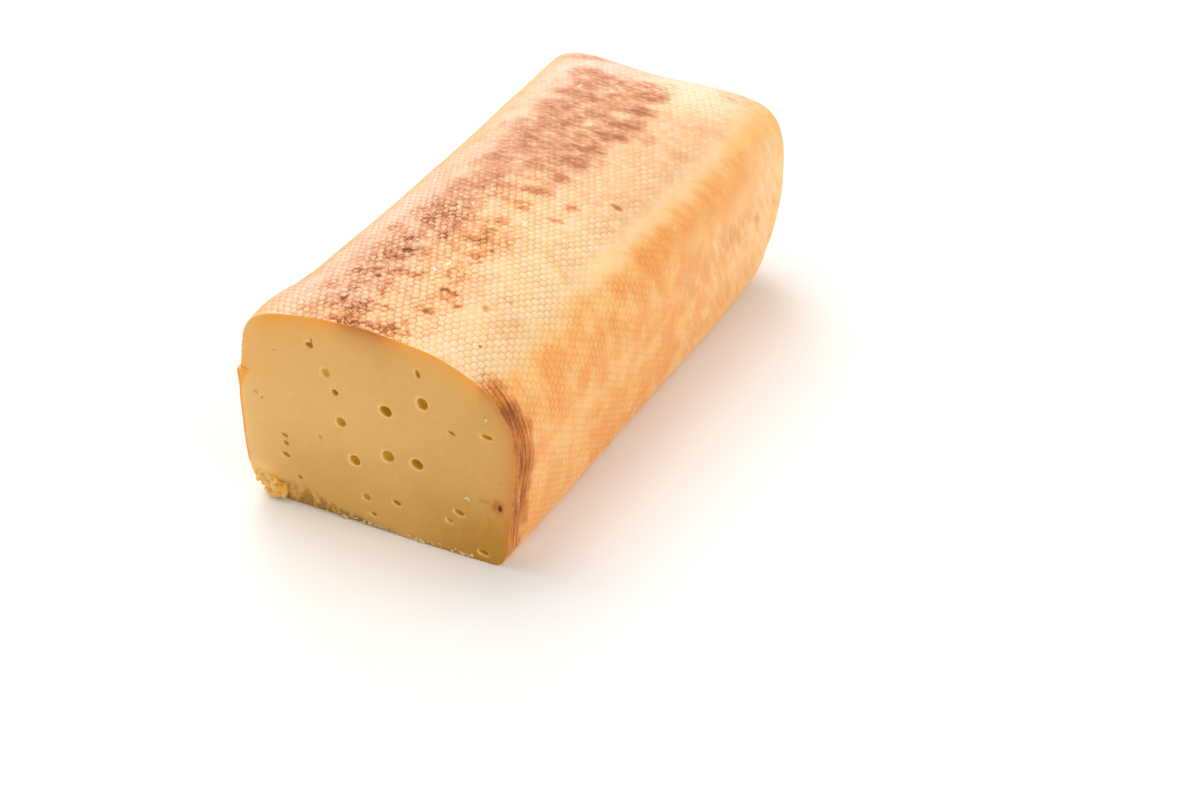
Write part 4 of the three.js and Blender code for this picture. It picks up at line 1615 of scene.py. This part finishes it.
def make_materials(colours, origin):
    """All materials of the cheese by short name."""
    group = mottle_group()
    return {
        "rind": rind_material(colours, group),
        "paste": cut_material(colours, group, origin),
        "eye": eye_material(colours, group),
        "torn": torn_material(colours, group),
        "rim": rim_material(colours, group),
        # Painted highlight: the flap in the eye is coloured pale where light catches it
        "light": plain_paste_material("flap", colours.paste_light_and_highlight, colours.paste, 0.5, group, 0.4, 0.1),
        "edge": plain_paste_material("rind edge", colours.rind_edge, colours.paste, 0.3, group, 0.38, 0.25),
        "lump": lump_material(colours, group),
        "crumb": plain_paste_material("crumbs", colours.crumb, colours.torn, 0.15, group, 0.55, 0.3),
    }


# Operators


class CHEESE_OT_loaf(bpy.types.Operator):
    """Build the cut loaf with its net-marked rind"""

    bl_idname = "cheese.make_loaf"
    bl_label = "Make Loaf"

    def execute(self, context):
        scene = context.scene
        loaf = scene.cheese_loaf
        cut = scene.cheese_cut
        origin = move_to_frame(loaf)
        materials = make_materials(scene.cheese_colours, origin)
        bpy.ops.object.select_all(action="DESELECT")
        cheese = net_skin(loaf, scene.cheese_net)
        cheese.data.materials.append(materials["rind"])
        combine(cheese, knife_block(loaf, cut, materials), "DIFFERENCE")
        combine(cheese, tear_cutter(loaf, cut, materials), "DIFFERENCE")
        combine(cheese, rind_lip(loaf, cut, materials), "UNION")
        for eyes in (EYES, EYE_LOBES):
            combine(cheese, eye_cutter(cut, eyes, materials["eye"], materials["rim"]), "DIFFERENCE")
        combine(cheese, eye_cutter(cut, BURNT_PIT, materials["paste"], materials["paste"]), "DIFFERENCE")
        combine(cheese, pushed_lump(materials["lump"]), "UNION")
        combine(cheese, soft_lump(*EYE_FLAP, 2, 37, materials["light"]), "UNION")
        note_places(loaf, cut, cheese)
        select_only(cheese)
        bpy.ops.object.shade_smooth_by_angle(angle=math.radians(62))
        cheese.data.transform(Matrix.Translation(origin))
        cheese.name = "cheese"
        cheese.data.name = "cheese"
        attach(cheese, "root")
        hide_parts("cheese_loaf")
        return {"FINISHED"}


class CHEESE_OT_crumbs(bpy.types.Operator):
    """Scatter crumbs along the foot of the cut"""

    bl_idname = "cheese.make_crumbs"
    bl_label = "Make Crumbs"

    def execute(self, context):
        scene = context.scene
        crumb = bpy.data.materials.get("crumbs")
        if crumb is None:
            raise RuntimeError("the loaf comes first, because it makes the materials")
        pile = crumb_pile(scene.cheese_cut, crumb)
        pile.data.transform(Matrix.Translation(move_to_frame(scene.cheese_loaf)))
        select_only(pile)
        bpy.ops.object.shade_smooth()
        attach(pile, "root")
        return {"FINISHED"}


def aim(item, target):
    """Turns a light or camera to look at a place."""
    away = Vector(target) - item.location
    item.rotation_euler = away.to_track_quat("-Z", "Y").to_euler()


def soft_light(name, place, size, power, colour):
    """A large soft area light that looks at the loaf."""
    data = bpy.data.lights.new(name, "AREA")
    data.shape = "SQUARE"
    data.size = size
    data.energy = power
    data.color = colour
    light = bpy.data.objects.new(name, data)
    light.location = place
    bpy.context.scene.collection.objects.link(light)
    aim(light, LIGHT_TARGET)


def pale_floor(stage):
    """The plain floor with its faint grain."""
    bpy.ops.object.select_all(action="DESELECT")
    bpy.ops.mesh.primitive_plane_add(size=8)
    floor = bpy.context.object
    floor.name = "floor"
    material, nodes, shader = new_material("pale floor", 0.7, 0.0)
    grain = nodes.ease(nodes.noise(nodes.place(), 60.0, 2.0), 0.3, 0.7, 0.0, 0.04)
    nodes.put(shader.inputs["Base Color"], nodes.mix(grain, stage.floor, stage.floor_grain))
    floor.data.materials.append(material)


def even_light(stage):
    """A white sky that lights all sides."""
    world = bpy.data.worlds.new("even light")
    world.use_nodes = True
    background = world.node_tree.nodes["Background"]
    background.inputs["Color"].default_value = (1.0, 1.0, 1.0, 1.0)
    background.inputs["Strength"].default_value = stage.sky
    return world


def photo_camera(stage, foot):
    """The photo's camera, placed from the foot of the cut."""
    data = bpy.data.cameras.new("camera")
    data.lens = stage.focal_length
    data.sensor_width = 36.0
    data.sensor_fit = "HORIZONTAL"
    data.clip_end = 20.0
    camera = bpy.data.objects.new("camera", data)
    bpy.context.scene.collection.objects.link(camera)
    camera.location = foot + Vector(CAMERA_PLACE)
    pitch = math.radians(CAMERA_PITCH)
    level = Vector(CAMERA_HEADING).normalized()
    look = level * math.cos(pitch) + Vector((0.0, 0.0, -math.sin(pitch)))
    aim(camera, camera.location + look)
    return camera


class CHEESE_OT_stage(bpy.types.Operator):
    """Set up the floor, the lights and the camera"""

    bl_idname = "cheese.make_stage"
    bl_label = "Make Stage"

    def execute(self, context):
        scene = context.scene
        stage = scene.cheese_stage
        pale_floor(stage)
        for name, place, size, colour in LIGHTS:
            soft_light(name, place, size, getattr(stage, f"{name}_power"), colour)
        scene.world = even_light(stage)
        scene.camera = photo_camera(stage, move_to_frame(scene.cheese_loaf))
        scene.view_settings.view_transform = "Standard"
        return {"FINISHED"}


class CHEESE_PT_panel(bpy.types.Panel):
    """The loaf's builders and sizes"""

    bl_idname = "CHEESE_PT_panel"
    bl_label = "Smoked Cheese"
    bl_space_type = "VIEW_3D"
    bl_region_type = "UI"
    bl_category = "Cheese"

    def draw(self, context):
        for operator in OPERATORS:
            self.layout.operator(operator.bl_idname)
        for name in GROUPS:
            group = getattr(context.scene, name)
            box = self.layout.box()
            for field in group.__annotations__:
                box.prop(group, field)


GROUPS = {
    "cheese_loaf": LoafSizes,
    "cheese_net": NetSizes,
    "cheese_cut": CutSizes,
    "cheese_colours": CheeseColours,
    "cheese_stage": StageSettings,
}
OPERATORS = (CHEESE_OT_loaf, CHEESE_OT_crumbs, CHEESE_OT_stage)


def register():
    for group in GROUPS.values():
        bpy.utils.register_class(group)
    for item in (*OPERATORS, CHEESE_PT_panel):
        bpy.utils.register_class(item)
    for name, group in GROUPS.items():
        setattr(bpy.types.Scene, name, PointerProperty(type=group))


def unregister():
    for name in GROUPS:
        delattr(bpy.types.Scene, name)
    for item in (CHEESE_PT_panel, *OPERATORS, *GROUPS.values()):
        bpy.utils.unregister_class(item)


def main():
    register()
    bpy.ops.cheese.make_loaf()
    bpy.ops.cheese.make_crumbs()
    bpy.ops.cheese.make_stage()


if __name__ == "__main__":
    main()
